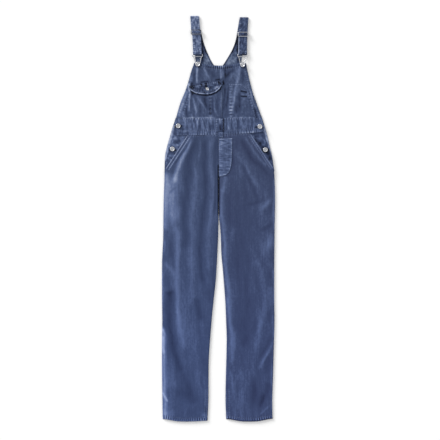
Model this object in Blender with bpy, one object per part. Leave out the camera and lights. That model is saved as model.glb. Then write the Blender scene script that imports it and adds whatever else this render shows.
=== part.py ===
"""Corduroy overalls laid flat on the floor, front side up, as separate sewn pieces and fittings.

Sizes are millimetres until they reach a mesh. The wearer's right is at -X and the straps at +Y.
"""
import math
from collections import namedtuple

import bmesh
import bpy
from mathutils import Vector

MM = 0.001

# Cloth and how it is stacked
CLOTH = 2.0            # corduroy body panel
TRIM = 1.6             # pockets, flap, facings and plackets
FLY = 1.2              # fly piece
GAP = 0.3              # between pieces that touch when sewn
LAID = 6.3             # top of the front where it lies on the back
EDGE = 2 * CLOTH + GAP + 0.2    # top of the front at a side seam
HIP = 2 * CLOTH + 2 * TRIM + 3 * GAP + 0.2    # over the facing and the placket
CUT_SNAP = 0.02        # a cut passes through a point this near to it
SETTLE = 0.5           # a button foot stands this much clear of a curved panel
SEAM_ROLL = 9.0        # how fast the front rises from a side seam, and from an inside seam
INSEAM_ROLL = 8.0
EDGE_FOLD = 0.35       # share of a fold's height that is left at a seam
FRONT_CREASE = 0.9     # depth and spread of the dip along the seam at the front middle
CREASE_SPREAD = 7.0

# Where the front lies higher, over the facings and plackets: height range and distance in
PILE_LOW = (130.0, 210.0)
PILE_TOP = 331.0
PILE_IN = (88.0, 128.0)

# Places along the length
TOP = 750.0
HEM = -750.0
WAIST_TOP = 372.0
WAIST_SEAM = 311.0
# The waist seam across the garment, higher on the wearer's left: x and y
WAIST_LINE = (
    (-182.0, 307.5), (-60.0, 308.5), (0.0, WAIST_SEAM), (90.0, 314.0), (140.0, 318.0), (186.0, 326.0))
CROTCH = 76.0
V_BOTTOM = 537.0

Edge = namedtuple("Edge", "y outer inner")
Fold = namedtuple("Fold", "x0 y0 x1 y1 rise spread")
Point = namedtuple("Point", "x y")

# Outline of each leg: side seam and inside seam
LEG_EDGES = {
    "right": (
        Edge(330, -171.3, -0.2), Edge(WAIST_SEAM, -176.8, -0.2), Edge(228, -196.3, -0.2),
        Edge(143, -199.0, -0.2),
        Edge(CROTCH, -201.8, -0.2), Edge(-5, -203.8, 1.2), Edge(-79, -204.5, -1.0),
        Edge(-153, -207.4, -4.6), Edge(-227, -209.0, -9.4), Edge(-301, -208.5, -17.6),
        Edge(-375, -206.8, -25.0), Edge(-523, -206.8, -35.3), Edge(-671, -206.0, -37.2),
        Edge(HEM, -205.0, -41.2)),
    "left": (
        Edge(330, 175.2, 0.2), Edge(WAIST_SEAM, 181.2, 0.2), Edge(228, 201.5, 0.2), Edge(180, 206.6, 0.2),
        Edge(CROTCH, 209.0, 0.2), Edge(-5, 208.2, 4.4), Edge(-79, 207.6, 8.7),
        Edge(-190, 206.2, 16.8), Edge(-301, 206.2, 24.6), Edge(-375, 206.8, 27.9),
        Edge(-449, 205.4, 30.2), Edge(-597, 202.0, 26.8), Edge(-671, 199.6, 25.8),
        Edge(HEM, 201.0, 28.6)),
}
# How far the bottom of a leg rises at its side seam and at its inside seam
HEM_LIFT = {"right": (9.0, 3.0), "left": (13.0, 14.0)}
HEM_ROUND = 42.0

# Sides of the bib: the wearer's right edge and left edge
BIB_SIDES = (
    Edge(WAIST_TOP, -157.0, 161.8), Edge(432, -138.6, 140.2), Edge(468, -123.6, 127.8),
    Edge(506, -111.0, 117.5), Edge(543, -101.0, 109.3), Edge(579, -88.6, 102.0))
BAND_SIDES = (Edge(WAIST_SEAM, -164.0, 170.0), Edge(340, -163.0, 168.0), Edge(WAIST_TOP, -157.0, 161.8))
BIB_TOP_MIDDLE = 565.9
BIB_TOP_PEAK = 579.0
BIB_BUTTONS = {"right": Point(-77.1, 570.7), "left": Point(88.6, 568.5)}

# Back bib halves: arm edge and the edge at the middle or along the V
BACK_BIB = {
    "right": (
        Edge(WAIST_TOP, -135, -0.2), Edge(440, -110, -0.2), Edge(500, -80, -0.2),
        Edge(V_BOTTOM, -73, -0.2), Edge(552, -75, -5.6), Edge(580, -84, -24),
        Edge(602, -87, -34.6), Edge(624, -89, -44.2), Edge(646, -91, -52.4),
        Edge(668, -93, -58), Edge(696, -97, -65)),
    "left": (
        Edge(WAIST_TOP, 138, 0.2), Edge(440, 114, 0.2), Edge(500, 92, 0.2),
        Edge(V_BOTTOM, 84, 0.2), Edge(552, 83, 5.8), Edge(580, 84, 23),
        Edge(602, 88, 36.4), Edge(624, 92, 48.7), Edge(646, 96, 58),
        Edge(668, 101, 64.4), Edge(696, 104, 69.6)),
}
BACK_BAND = (
    Edge(300, -180.0, 184.6), Edge(WAIST_SEAM, -176.8, 181.2), Edge(340, -168.8, 172.4),
    Edge(WAIST_TOP, -158.4, 162.6))

# Slant pocket edge, its facing and the placket beyond it
SLANT = {"right": (Point(-115, 307.5), Point(-193, 187.5)), "left": (Point(120, 311), Point(201, 190))}
FACING = {
    "right": (Point(-161, 312), Point(-191.8, 228), Point(-197.5, 175), Point(-168, 175), Point(-94, 312)),
    "left": (Point(162, 328), Point(197.6, 228), Point(206.8, 175), Point(176, 175), Point(92, 328)),
}
PLACKET_TOP = 345.0
PLACKET_END = 214.0
PLACKET_WIDTH = 26.0

# Bib pieces
FLAP = (
    Point(-108, 487), Point(-107, 482), Point(-100, 475), Point(-86, 466), Point(-69, 460),
    Point(-47, 457.6), Point(-28, 459.6), Point(-9, 467), Point(5, 479), Point(14, 494),
    Point(15, 511), Point(-90, 497))
CHEST_POCKET = (Point(-104, 486), Point(-136, 374), Point(13, 374), Point(13, 507), Point(-88, 494))
PEN_POCKET = (
    Point(38, 498), Point(38, 374), Point(141, 374), Point(112, 470), Point(104, 485), Point(86, 498))
FLAP_BUTTON = Point(-41.6, 478.6)
BAND_LOOP = (Point(-10, 369), Point(-10, 321), Point(19.5, 321), Point(19.5, 369))
BAND_TAB = (Point(0, 319.4), Point(15, 319.4), Point(15, 300), Point(0, 300))
FLY_OUTLINE = (
    Point(1.5, 297), Point(1.5, 157), Point(14, 158), Point(27, 163), Point(38, 174),
    Point(44, 192), Point(47, 220), Point(48, 297))

# Side buttons
SIDE_BUTTONS = {
    "upper_right": Point(-148.9, 342.4), "lower_right": Point(-170.4, 257.3),
    "upper_left": Point(152.6, 339.8), "lower_left": Point(173.0, 254.4)}

# Folds of the front: a soft ridge, or a trough where the rise is negative, along a straight run
FOLDS = (
    # bib
    Fold(-80, 561, -83, 498, 1.7, 5), Fold(13, 561, 13, 513, 1.6, 5), Fold(27, 561, 26, 502, -1.1, 5),
    Fold(90, 557, 72, 483, 2.0, 6), Fold(72, 483, 55, 424, 1.5, 6), Fold(-69, 554, -28, 513, 0.9, 7),
    Fold(65, 550, 31, 513, 0.9, 7), Fold(-106, 450, -108, 405, 1.2, 5), Fold(-92, 445, -77, 372, 1.4, 5),
    Fold(-73, 440, -46, 398, 1.1, 5), Fold(-133, 424, -141, 376, 1.0, 5), Fold(98, 446, 102, 376, 1.0, 6),
    # right leg
    Fold(-98, 284, -133, 221, 1.6, 9), Fold(-133, 221, -160, 169, 2.2, 10),
    Fold(-160, 169, -187, 113, 2.4, 10), Fold(-109, 217, -122, 84, -1.4, 11),
    Fold(-30, 291, -30, 69, 1.6, 9), Fold(-95, 84, -98, -160, -1.6, 11), Fold(-72, 69, -72, -301, 2.2, 10),
    Fold(-128, 25, -126, -101, -1.4, 9), Fold(-154, 2, -156, -308, 2.6, 11),
    Fold(-185, -257, -187, -382, -1.1, 8), Fold(-113, -301, -117, -567, 1.6, 11),
    Fold(-72, -412, -76, -686, -1.2, 11), Fold(-200, -412, -183, -471, 1.3, 7),
    Fold(-200, -638, -180, -686, 1.4, 7), Fold(-157, -493, -139, -708, 1.8, 11),
    # left leg
    Fold(28, 130, 26, -160, 1.7, 9), Fold(57, 150, 65, 14, -1.1, 10), Fold(79, 254, 139, 25, 1.1, 10),
    Fold(102, -42, 105, -412, -1.5, 12), Fold(68, -116, 72, -523, 1.7, 12),
    Fold(146, -35, 150, -301, 1.5, 12), Fold(176, -134, 177, -412, -1.0, 9),
    Fold(200, -467, 161, -578, 1.6, 8), Fold(161, -578, 131, -664, 1.3, 9),
    Fold(98, -486, 94, -708, 1.4, 12), Fold(194, -619, 168, -708, 1.3, 9),
)

# Gathers of the waistband, one every pitch, which fade out into the bib
GATHER_COUNT = 23
GATHER_FIRST = -128.0
GATHER_PITCH = 12.6
GATHER_RISE = 1.1
GATHER_SPREAD = 3.6
GATHER_FADE = 34.0
GATHER_SWAY = 0.22     # share of the pitch by which a gather strays
GATHER_UNEVEN = 0.35   # share by which its height varies
GATHER_LEAN = 0.04

# Straps
STRAP_WIDTH = 32.0
STRAP = 2.0
STRAP_START = 696.4    # lower end of the run on the floor, against the back arm
SLIDER_Y = {"right": 689.0, "left": 681.0}
BUCKLE_BAR_Y = 607.5
STRAP_TOP = {"right": TOP, "left": TOP - 5.0}
# Middle of each strap from the shoulder fold to the buckle: y and x
STRAP_LINE = {
    "right": ((STRAP_TOP["right"], -88.0), (690, -82.4), (646, -78.6), (600, -77.1)),
    "left": ((STRAP_TOP["left"], 94.5), (687, 91.2), (646, 89.7), (600, 89.2)),
}
STRAP_LIFTS = 722.0    # the upper run starts to sink towards the slider here
STRAP_SINKS = 624.0    # and rises towards the buckle's bar here
BAR_CLEAR = 2.8        # from a slider bar's middle to the strap's middle

# Wire of the sliders and buckles
SLIDER_WIRE = 2.0
SLIDER_WIDTH = 38.5
SLIDER_BAR_PITCH = 7.75
BUCKLE_WIRE = 2.4
BUCKLE_WIDTH = 38.5
BUCKLE_BAR_DROP = 8.4
HOOK_RADIUS = 7.6
HOOK_SPREAD = 13.5     # half the hook's width where it leaves the frame
HOOK_TURN = (200, 340)    # degrees that it turns through below the button
FRAME_CORNER = 2.6

# Buttons: radius and height above what they sit on
Button = namedtuple("Button", "radius height shank")
TACK = Button(8.6, 5.8, 3.0)
SIDE_TACK = Button(8.5, 4.4, 3.0)
SMALL = Button(5.6, 3.2, 2.2)
BUTTON_SIDES = 14


def smooth(low, high, value):
    """0 below low, 1 above high, and a smooth step between."""
    t = min(max((value - low) / (high - low), 0.0), 1.0)
    return t * t * (3.0 - 2.0 * t)


def along(rows, y, column):
    """A column of a table at y, through its rows on a smooth curve."""
    rows = sorted(rows, key=lambda row: row[0])
    y = min(max(y, rows[0][0]), rows[-1][0])
    for i in range(len(rows) - 1):
        if y <= rows[i + 1][0]:
            break
    before, start = rows[max(i - 1, 0)], rows[i]
    end, after = rows[i + 1], rows[min(i + 2, len(rows) - 1)]
    span = end[0] - start[0]
    leave = (end[column] - before[column]) / (end[0] - before[0]) * span
    reach = (after[column] - start[column]) / (after[0] - start[0]) * span
    t = (y - start[0]) / span
    return ((2 * t**3 - 3 * t**2 + 1) * start[column] + (t**3 - 2 * t**2 + t) * leave
            + (3 * t**2 - 2 * t**3) * end[column] + (t**3 - t**2) * reach)


def side_of(x):
    """The wearer's side that a place is on."""
    return "right" if x < 0 else "left"


def bib_top(x):
    """Top edge of the bib, dipping between the two buttons."""
    right, left = BIB_BUTTONS["right"].x, BIB_BUTTONS["left"].x
    middle, half = (right + left) / 2.0, (left - right) / 2.0
    across = (x - middle) / half
    if abs(across) <= 1.0:
        return BIB_TOP_MIDDLE + (BIB_TOP_PEAK - BIB_TOP_MIDDLE) * across**2
    return BIB_TOP_PEAK - 24.0 * (abs(across) - 1.0)


def outline_distance(x, y):
    """Distance in from the side of the garment."""
    if y > WAIST_TOP:
        return min(x - along(BIB_SIDES, y, 1), along(BIB_SIDES, y, 2) - x, bib_top(x) - y)
    if y > along(WAIST_LINE, x, 1):
        return min(x - along(BAND_SIDES, y, 1), along(BAND_SIDES, y, 2) - x)
    return abs(along(LEG_EDGES[side_of(x)], y, 1)) - abs(x)


def gather(x, y):
    """Height of the waistband's gathers."""
    fade = smooth(WAIST_TOP + GATHER_FADE, WAIST_TOP, y) * smooth(WAIST_SEAM - 14.0, WAIST_SEAM + 6.0, y)
    if fade == 0.0:
        return 0.0
    total = 0.0
    for i in range(GATHER_COUNT):
        centre = GATHER_FIRST + GATHER_PITCH * (i + GATHER_SWAY * math.sin(2.4 * i))
        centre += GATHER_LEAN * (y - WAIST_SEAM)
        rise = GATHER_RISE * (1.0 + GATHER_UNEVEN * math.sin(1.7 * i + 0.6))
        total += rise * math.exp(-((x - centre) / GATHER_SPREAD) ** 2)
    return total * fade


def fold_height(x, y):
    """Height that the folds add at a place."""
    total = 0.0
    for fold in FOLDS:
        run_x, run_y = fold.x1 - fold.x0, fold.y1 - fold.y0
        t = ((x - fold.x0) * run_x + (y - fold.y0) * run_y) / (run_x**2 + run_y**2)
        t = min(max(t, 0.0), 1.0)
        away = math.hypot(x - fold.x0 - t * run_x, y - fold.y0 - t * run_y)
        total += fold.rise * math.exp(-(away / fold.spread) ** 2)
    return total


def front_top(x, y):
    """Height of the top face of the front bib, waistband and legs."""
    inward = outline_distance(x, y)
    rolled = 1.0 - math.exp(-max(inward, 0.0) / SEAM_ROLL)
    if y < CROTCH:
        inside = abs(x) - abs(along(LEG_EDGES[side_of(x)], y, 2))
        rolled *= 1.0 - math.exp(-max(inside, 0.0) / INSEAM_ROLL) * smooth(CROTCH, CROTCH - 40.0, y)
    height = EDGE + (LAID - EDGE) * rolled
    pile = smooth(*PILE_LOW, y) * smooth(WAIST_TOP, PILE_TOP, y) * smooth(*PILE_IN[::-1], inward)
    height += (HIP - height) * pile
    below_waist = smooth(CROTCH - 60.0, CROTCH + 90.0, y) * smooth(WAIST_SEAM + 4.0, WAIST_SEAM - 20.0, y)
    height -= FRONT_CREASE * math.exp(-(x / CREASE_SPREAD) ** 2) * below_waist
    edge_share = EDGE_FOLD + (1.0 - EDGE_FOLD) * rolled
    return max(height + (fold_height(x, y) + gather(x, y)) * edge_share, EDGE)


def material(name, colour, roughness, metallic=0.0):
    """One plain material with a colour, roughness and metallic value."""
    made = bpy.data.materials.new(name)
    made.use_nodes = True
    shader = made.node_tree.nodes["Principled BSDF"]
    shader.inputs["Base Color"].default_value = (*colour, 1.0)
    shader.inputs["Roughness"].default_value = roughness
    shader.inputs["Metallic"].default_value = metallic
    return made


CORDUROY = (0.072, 0.103, 0.216)
CORDUROY_INSIDE = (0.11, 0.14, 0.25)
NICKEL = (0.66, 0.67, 0.68)


def add_object(name, bm, colour=CORDUROY, roughness=0.9, metallic=0.0):
    """Link a finished bmesh as one named object with its own material."""
    mesh = bpy.data.meshes.new(name)
    bm.to_mesh(mesh)
    bm.free()
    made = bpy.data.objects.new(name, mesh)
    mesh.materials.append(material(name, colour, roughness, metallic))
    mesh.shade_smooth()
    mesh.set_sharp_from_angle(angle=math.radians(35))
    bpy.context.collection.objects.link(made)
    return made


def sheet(columns, rows, place):
    """A grid of triangles whose points are placed by a function of u and v, each from 0 to 1."""
    bm = bmesh.new()
    bmesh.ops.create_grid(bm, x_segments=columns, y_segments=rows, size=0.5)
    for vert in bm.verts:
        x, y, z = place(vert.co.x + 0.5, vert.co.y + 0.5)
        vert.co = Vector((x, y, z)) * MM
    bmesh.ops.triangulate(bm, faces=bm.faces[:], quad_method="FIXED")
    return bm


def cut(bm, outline):
    """Keep what lies inside a convex outline, cut straight down along each of its edges."""
    turn = 0.0
    for a, b in zip(outline, outline[1:] + outline[:1]):
        turn += a.x * b.y - b.x * a.y
    ring = outline if turn > 0 else outline[::-1]
    for a, b in zip(ring, ring[1:] + ring[:1]):
        cut_line(bm, a, b)
    return bm


def cut_line(bm, a, b):
    """Remove what lies to the right of the line from a to b."""
    normal = Vector((b.y - a.y, a.x - b.x, 0.0)).normalized()
    bmesh.ops.bisect_plane(bm, geom=bm.verts[:] + bm.edges[:] + bm.faces[:], dist=CUT_SNAP * MM,
                           plane_co=Vector((a.x, a.y, 0.0)) * MM, plane_no=normal, clear_outer=True)
    bmesh.ops.triangulate(bm, faces=bm.faces[:])


def wall(bm, thickness, lift=0.0):
    """Move a sheet up by lift and give it a wall that reaches down by its thickness."""
    for vert in bm.verts:
        vert.co.z += lift * MM
    lower = bmesh.ops.extrude_face_region(bm, geom=bm.faces[:])["geom"]
    for item in lower:
        if isinstance(item, bmesh.types.BMVert):
            item.co.z -= thickness * MM
    bmesh.ops.recalc_face_normals(bm, faces=bm.faces[:])
    return bm


def level(layers, thickness):
    """Lift of a piece that lies on the front, with this many trim layers under it."""
    return GAP + thickness + layers * (TRIM + GAP)


# --- Front -----------------------------------------------------------------------------------

def bib_sheet():
    """The bib's top face."""
    low = WAIST_TOP + GAP

    def place(u, v):
        guess = along(BIB_SIDES, BIB_TOP_PEAK, 1) * (1 - u) + along(BIB_SIDES, BIB_TOP_PEAK, 2) * u
        y = low + (bib_top(guess) - low) * v
        x = along(BIB_SIDES, y, 1) * (1 - u) + along(BIB_SIDES, y, 2) * u
        return x, y, front_top(x, y)

    return sheet(38, 14, place)


def band_sheet():
    """The front waistband's top face."""
    def place(u, v):
        guess = along(BAND_SIDES, WAIST_SEAM, 1) * (1 - u) + along(BAND_SIDES, WAIST_SEAM, 2) * u
        low = along(WAIST_LINE, guess, 1) + GAP
        y = low + (WAIST_TOP - low) * v
        x = along(BAND_SIDES, y, 1) * (1 - u) + along(BAND_SIDES, y, 2) * u
        return x, y, front_top(x, y)

    return sheet(92, 4, place)


def hem_line(side, u):
    """Bottom edge of a leg, from its side seam at u = 0 to its inside seam at u = 1."""
    outer, inner = HEM_LIFT[side]
    width = abs(LEG_EDGES[side][-1].outer - LEG_EDGES[side][-1].inner)
    from_outer, from_inner = u * width, (1 - u) * width
    return (HEM + outer * (1.0 - smooth(0.0, HEM_ROUND, from_outer)) ** 2
            + inner * (1.0 - smooth(0.0, HEM_ROUND, from_inner)) ** 2)


LEG_ROWS = 34
LEG_COLUMNS = 17
ROW_CROWDING = 0.88    # rows stand closer together towards the waist


def leg_place(side, height):
    """Place a leg's points: u runs from the side seam in, v from the hem up."""
    def place(u, v):
        if side == "left":
            u = 1.0 - u
        low = hem_line(side, u)
        edges = LEG_EDGES[side]
        high = along(WAIST_LINE, along(edges, WAIST_SEAM, 1) * (1 - u) + along(edges, WAIST_SEAM, 2) * u, 1)
        y = low + (high - low) * v**ROW_CROWDING
        x = along(edges, y, 1) * (1 - u) + along(edges, y, 2) * u
        return x, y, height(x, y)

    return place


def front_leg_sheet(side):
    """The front leg's top face, whole to the side seam."""
    return sheet(LEG_COLUMNS, LEG_ROWS, leg_place(side, front_top))


def build_front():
    """Bib, waistband and legs, and what is sewn on them."""
    add_object("front_bib", wall(bib_sheet(), CLOTH))
    add_object("chest_pocket", wall(cut(bib_sheet(), CHEST_POCKET), TRIM, level(0, TRIM)))
    add_object("chest_flap", wall(cut(bib_sheet(), FLAP), TRIM, level(1, TRIM)))
    add_object("pen_pocket", wall(cut(bib_sheet(), PEN_POCKET), TRIM, level(0, TRIM)))
    add_object("front_waistband", wall(band_sheet(), CLOTH))
    add_object("waistband_loop", wall(cut(band_sheet(), BAND_LOOP), TRIM, level(0, TRIM)))
    for side in ("right", "left"):
        build_front_leg(side)
    add_object("fly", wall(cut(front_leg_sheet("left"), FLY_OUTLINE), FLY, level(0, FLY)))
    build_waist_tab()


def build_front_leg(side):
    """A front leg cut along its slant pocket, with the facing and the placket under it."""
    top, bottom = SLANT[side]
    leg = front_leg_sheet(side)
    if side == "right":
        cut_line(leg, top, bottom)
    else:
        cut_line(leg, bottom, top)
    add_object(f"front_leg_{side}", wall(leg, CLOTH))
    facing = cut(front_leg_sheet(side), FACING[side])
    add_object(f"pocket_facing_{side}", wall(facing, TRIM, -CLOTH - GAP))
    column = 1 if side == "right" else 2

    def place(u, v):
        y = PLACKET_END + (PLACKET_TOP - PLACKET_END) * v
        edge = along(BACK_BAND, y, column) if y > WAIST_SEAM else along(LEG_EDGES[side], y, 1)
        shift = PLACKET_WIDTH * u + 0.6
        x = edge + shift if side == "right" else edge - PLACKET_WIDTH * (1 - u) - 0.6
        return x, y, CLOTH + GAP + TRIM

    add_object(f"side_placket_{side}", wall(sheet(1, 8, place), TRIM))


def build_waist_tab():
    """The small tab across the waist seam, high enough to clear the gathers under it."""
    a, b, c, _ = BAND_TAB
    clear = max(front_top(a.x + (b.x - a.x) * i / 6, c.y + (a.y - c.y) * j / 6)
                for i in range(7) for j in range(7))

    def place(u, v):
        return a.x + (b.x - a.x) * u, c.y + (a.y - c.y) * v, clear + GAP + TRIM

    bm = wall(sheet(3, 3, place), TRIM)
    add_object("waistband_tab", bm)


# --- Back ------------------------------------------------------------------------------------

def back_bib_sheet(side):
    """Half of the back bib, from the waist up into its shoulder arm."""
    rows = BACK_BIB[side]
    low = WAIST_TOP + GAP
    sign = -1 if side == "right" else 1

    def place(u, v):
        y = low + (rows[-1].y - low) * v
        share = u if side == "right" else 1 - u
        middle = sign * max(sign * along(rows, y, 2), abs(rows[0].inner))
        return along(rows, y, 1) * (1 - share) + middle * share, y, CLOTH

    return sheet(2, 18, place)


def build_back():
    """Back legs, waistband and bib halves, flat on the floor."""
    for side in ("right", "left"):
        bm = sheet(4, 22, leg_place(side, lambda x, y: CLOTH))
        add_object(f"back_leg_{side}", wall(bm, CLOTH))
        add_object(f"back_bib_{side}", wall(back_bib_sheet(side), CLOTH), CORDUROY_INSIDE)

    def band(u, v):
        guess = along(BACK_BAND, WAIST_SEAM, 1) * (1 - u) + along(BACK_BAND, WAIST_SEAM, 2) * u
        low = along(WAIST_LINE, guess, 1) + GAP
        y = low + (WAIST_TOP - low) * v
        x = along(BACK_BAND, y, 1) * (1 - u) + along(BACK_BAND, y, 2) * u
        return x, y, CLOTH

    add_object("back_waistband", wall(sheet(8, 3, band), CLOTH))


# --- Straps ----------------------------------------------------------------------------------

def slider_bar_height():
    """Height of the slider's top, middle and bottom bars: it leans on the doubled strap."""
    above = CLOTH + GAP + STRAP / 2
    doubled = above + STRAP + GAP
    return above + BAR_CLEAR, (above + doubled) / 2 + BAR_CLEAR, doubled + BAR_CLEAR


def strap_path(side):
    """The strap's middle as (y, z): along the floor, over the shoulder, through the slider to the buckle."""
    top = STRAP_TOP[side]
    floor_run = STRAP / 2
    upper = CLOTH + GAP + STRAP / 2
    turn = (upper + STRAP / 2 + GAP - floor_run) / 2
    upper_start = floor_run + 2 * turn
    path = [(STRAP_START + GAP, floor_run), (STRAP_LIFTS, floor_run)]
    centre = top - STRAP / 2 - turn
    for i in range(7):
        angle = -math.pi / 2 + math.pi * i / 6
        path.append((centre + turn * math.cos(angle), floor_run + turn + turn * math.sin(angle)))
    slider = SLIDER_Y[side]
    high, middle, low = slider_bar_height()
    path += [(STRAP_LIFTS, upper_start), (slider + SLIDER_BAR_PITCH + 5.0, upper),
             (slider + SLIDER_BAR_PITCH, high - BAR_CLEAR), (slider + 1.0, middle + BAR_CLEAR),
             (slider - 1.0, middle + BAR_CLEAR), (slider - SLIDER_BAR_PITCH, low - BAR_CLEAR)]
    doubled = upper + STRAP + GAP
    path += [(slider - SLIDER_BAR_PITCH - 4.0, doubled), (STRAP_SINKS, doubled)]
    turn = BUCKLE_WIRE / 2 + GAP + STRAP / 2
    for i in range(7):
        angle = math.pi / 2 + math.pi * i / 6
        path.append((BUCKLE_BAR_Y + turn * math.cos(angle), upper + turn + turn * math.sin(angle)))
    path += [(slider - 2.0, upper)]
    return path


def build_strap(side):
    """One strap as a ribbon with a rectangular section at each point of its path."""
    path = strap_path(side)
    bm = bmesh.new()
    rings = []
    for i, (y, z) in enumerate(path):
        before, after = path[max(i - 1, 0)], path[min(i + 1, len(path) - 1)]
        here = Vector((y, z))
        into = (here - Vector(before)).normalized() if i else (Vector(after) - here).normalized()
        out = (Vector(after) - here).normalized() if i < len(path) - 1 else into
        mean = (into + out).normalized()
        normal = Vector((-mean.y, mean.x))
        reach = STRAP / 2 / max(normal.dot(Vector((-into.y, into.x))), 0.6)
        middle = along(STRAP_LINE[side], y, 1)
        ring = []
        for offset, half in ((reach, -1), (reach, 1), (-reach, 1), (-reach, -1)):
            edge = here + normal * offset
            ring.append(bm.verts.new(Vector((middle + half * STRAP_WIDTH / 2, edge.x, edge.y)) * MM))
        rings.append(ring)
    for ring, following in zip(rings, rings[1:]):
        for j in range(4):
            k = (j + 1) % 4
            bm.faces.new((ring[j], ring[k], following[k], following[j]))
    bm.faces.new(rings[0][::-1])
    bm.faces.new(rings[-1])
    bmesh.ops.recalc_face_normals(bm, faces=bm.faces[:])
    add_object(f"strap_{side}", bm)


# --- Metal -----------------------------------------------------------------------------------

def wire(points, radius, closed, sides=8):
    """A round wire along points in millimetres, joined end to end or capped."""
    bm = bmesh.new()
    count = len(points)
    rings = []
    for i, point in enumerate(points):
        before = points[(i - 1) % count] if closed or i else point
        after = points[(i + 1) % count] if closed or i < count - 1 else point
        forward = (after - before).normalized()
        across = forward.cross(Vector((0, 0, 1))).normalized()
        upward = across.cross(forward).normalized()
        ring = []
        for j in range(sides):
            angle = 2 * math.pi * (j + 0.5) / sides
            spoke = across * math.cos(angle) + upward * math.sin(angle)
            ring.append(bm.verts.new((point + spoke * radius) * MM))
        rings.append(ring)
    pairs = list(zip(rings, rings[1:] + rings[:1])) if closed else list(zip(rings, rings[1:]))
    for ring, following in pairs:
        for j in range(sides):
            k = (j + 1) % sides
            bm.faces.new((ring[j], ring[k], following[k], following[j]))
    if not closed:
        bm.faces.new(rings[0])
        bm.faces.new(rings[-1][::-1])
    bmesh.ops.recalc_face_normals(bm, faces=bm.faces[:])
    return bm


def rounded_frame(middle, half_width, low, high, corner, height):
    """Points of a rectangle with round corners; height gives z at a y."""
    points = []
    for cx, cy, start in ((half_width - corner, high - corner, 0), (corner - half_width, high - corner, 90),
                          (corner - half_width, low + corner, 180), (half_width - corner, low + corner, 270)):
        for step in (0, 45, 90):
            angle = math.radians(start + step)
            y = cy + corner * math.sin(angle)
            points.append(Vector((middle + cx + corner * math.cos(angle), y, height(y))))
    return points


def join(target, addition):
    """Union a hidden second shape into an object."""
    addition.hide_render = True
    addition.display_type = "WIRE"
    union = target.modifiers.new("join", "BOOLEAN")
    union.operation = "UNION"
    union.solver = "EXACT"
    union.object = addition


def build_slider(side):
    """A wire slider: two bars over the strap and one under it."""
    centre = SLIDER_Y[side]
    high, _, low = slider_bar_height()
    middle = along(STRAP_LINE[side], centre, 1)

    def height(y):
        share = (centre + SLIDER_BAR_PITCH - y) / (2 * SLIDER_BAR_PITCH)
        return high + (low - high) * share

    half = SLIDER_WIDTH / 2
    bars = (centre - SLIDER_BAR_PITCH, centre + SLIDER_BAR_PITCH)
    frame = rounded_frame(middle, half, *bars, FRAME_CORNER, height)
    body = add_object(f"slider_{side}", wire(frame, SLIDER_WIRE / 2, True), NICKEL, 0.3, 1.0)
    bar = [Vector((middle - half, centre, height(centre))), Vector((middle + half, centre, height(centre)))]
    join(body, add_object(f"slider_bar_{side}", wire(bar, SLIDER_WIRE / 2 - 0.05, False), NICKEL, 0.3, 1.0))


def build_buckle(side):
    """A wire buckle: a frame that the strap loops through and a hook round the button's neck."""
    button = BIB_BUTTONS[side]
    upper = CLOTH + GAP + STRAP / 2
    lying = upper + BUCKLE_WIRE / 2 + GAP + STRAP / 2
    over_bib = highest(button, HOOK_RADIUS, SETTLE) + BUCKLE_WIRE / 2
    middle = along(STRAP_LINE[side], BUCKLE_BAR_Y, 1)
    low = BUCKLE_BAR_Y - BUCKLE_BAR_DROP
    half = BUCKLE_WIDTH / 2
    frame = rounded_frame(middle, half, low, BUCKLE_BAR_Y, FRAME_CORNER, lambda y: lying)
    body = add_object(f"buckle_{side}", wire(frame, BUCKLE_WIRE / 2, True), NICKEL, 0.3, 1.0)
    hook = [Vector((middle - HOOK_SPREAD, low + 0.2, lying))]
    start, end = HOOK_TURN
    for i in range(8):
        angle = math.radians(start + (end - start) * i / 7)
        x = button.x + HOOK_RADIUS * math.cos(angle)
        hook.append(Vector((x, button.y + HOOK_RADIUS * math.sin(angle), over_bib)))
    hook.append(Vector((middle + HOOK_SPREAD, low + 0.2, lying)))
    join(body, add_object(f"buckle_hook_{side}", wire(hook, BUCKLE_WIRE / 2 - 0.05, False), NICKEL, 0.3, 1.0))


def build_button(name, centre, sort, base):
    """A turned tack button: a neck under a domed cap with a dished middle."""
    r, h = sort.radius, sort.height
    cap = h * 0.42
    profile = [
        (0.0, 0.0), (sort.shank, 0.0), (sort.shank, h - cap - 0.1), (r * 0.9, h - cap), (r, h - cap * 0.6),
        (r * 0.88, h), (r * 0.45, h - cap * 0.12), (r * 0.3, h - cap * 0.45), (0.0, h - cap * 0.5)]
    bm = bmesh.new()
    verts = [bm.verts.new(Vector((centre.x + x, centre.y, base + z)) * MM) for x, z in profile]
    edges = [bm.edges.new(pair) for pair in zip(verts, verts[1:])]
    bmesh.ops.spin(bm, geom=verts + edges, cent=Vector((centre.x, centre.y, 0)) * MM, axis=(0, 0, 1),
                   angle=2 * math.pi, steps=BUTTON_SIDES, use_merge=True)
    bmesh.ops.remove_doubles(bm, verts=bm.verts[:], dist=0.00001)
    bmesh.ops.recalc_face_normals(bm, faces=bm.faces[:])
    add_object(name, bm, NICKEL, 0.3, 1.0)


def highest(centre, reach, lift):
    """Height of the front under a round foot, at its highest, with a lift on top."""
    spots = [(centre.x + reach * math.cos(a), centre.y + reach * math.sin(a))
             for a in (2 * math.pi * i / 8 for i in range(8))]
    return max(front_top(x, y) for x, y in spots + [tuple(centre)]) + lift + GAP


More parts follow.
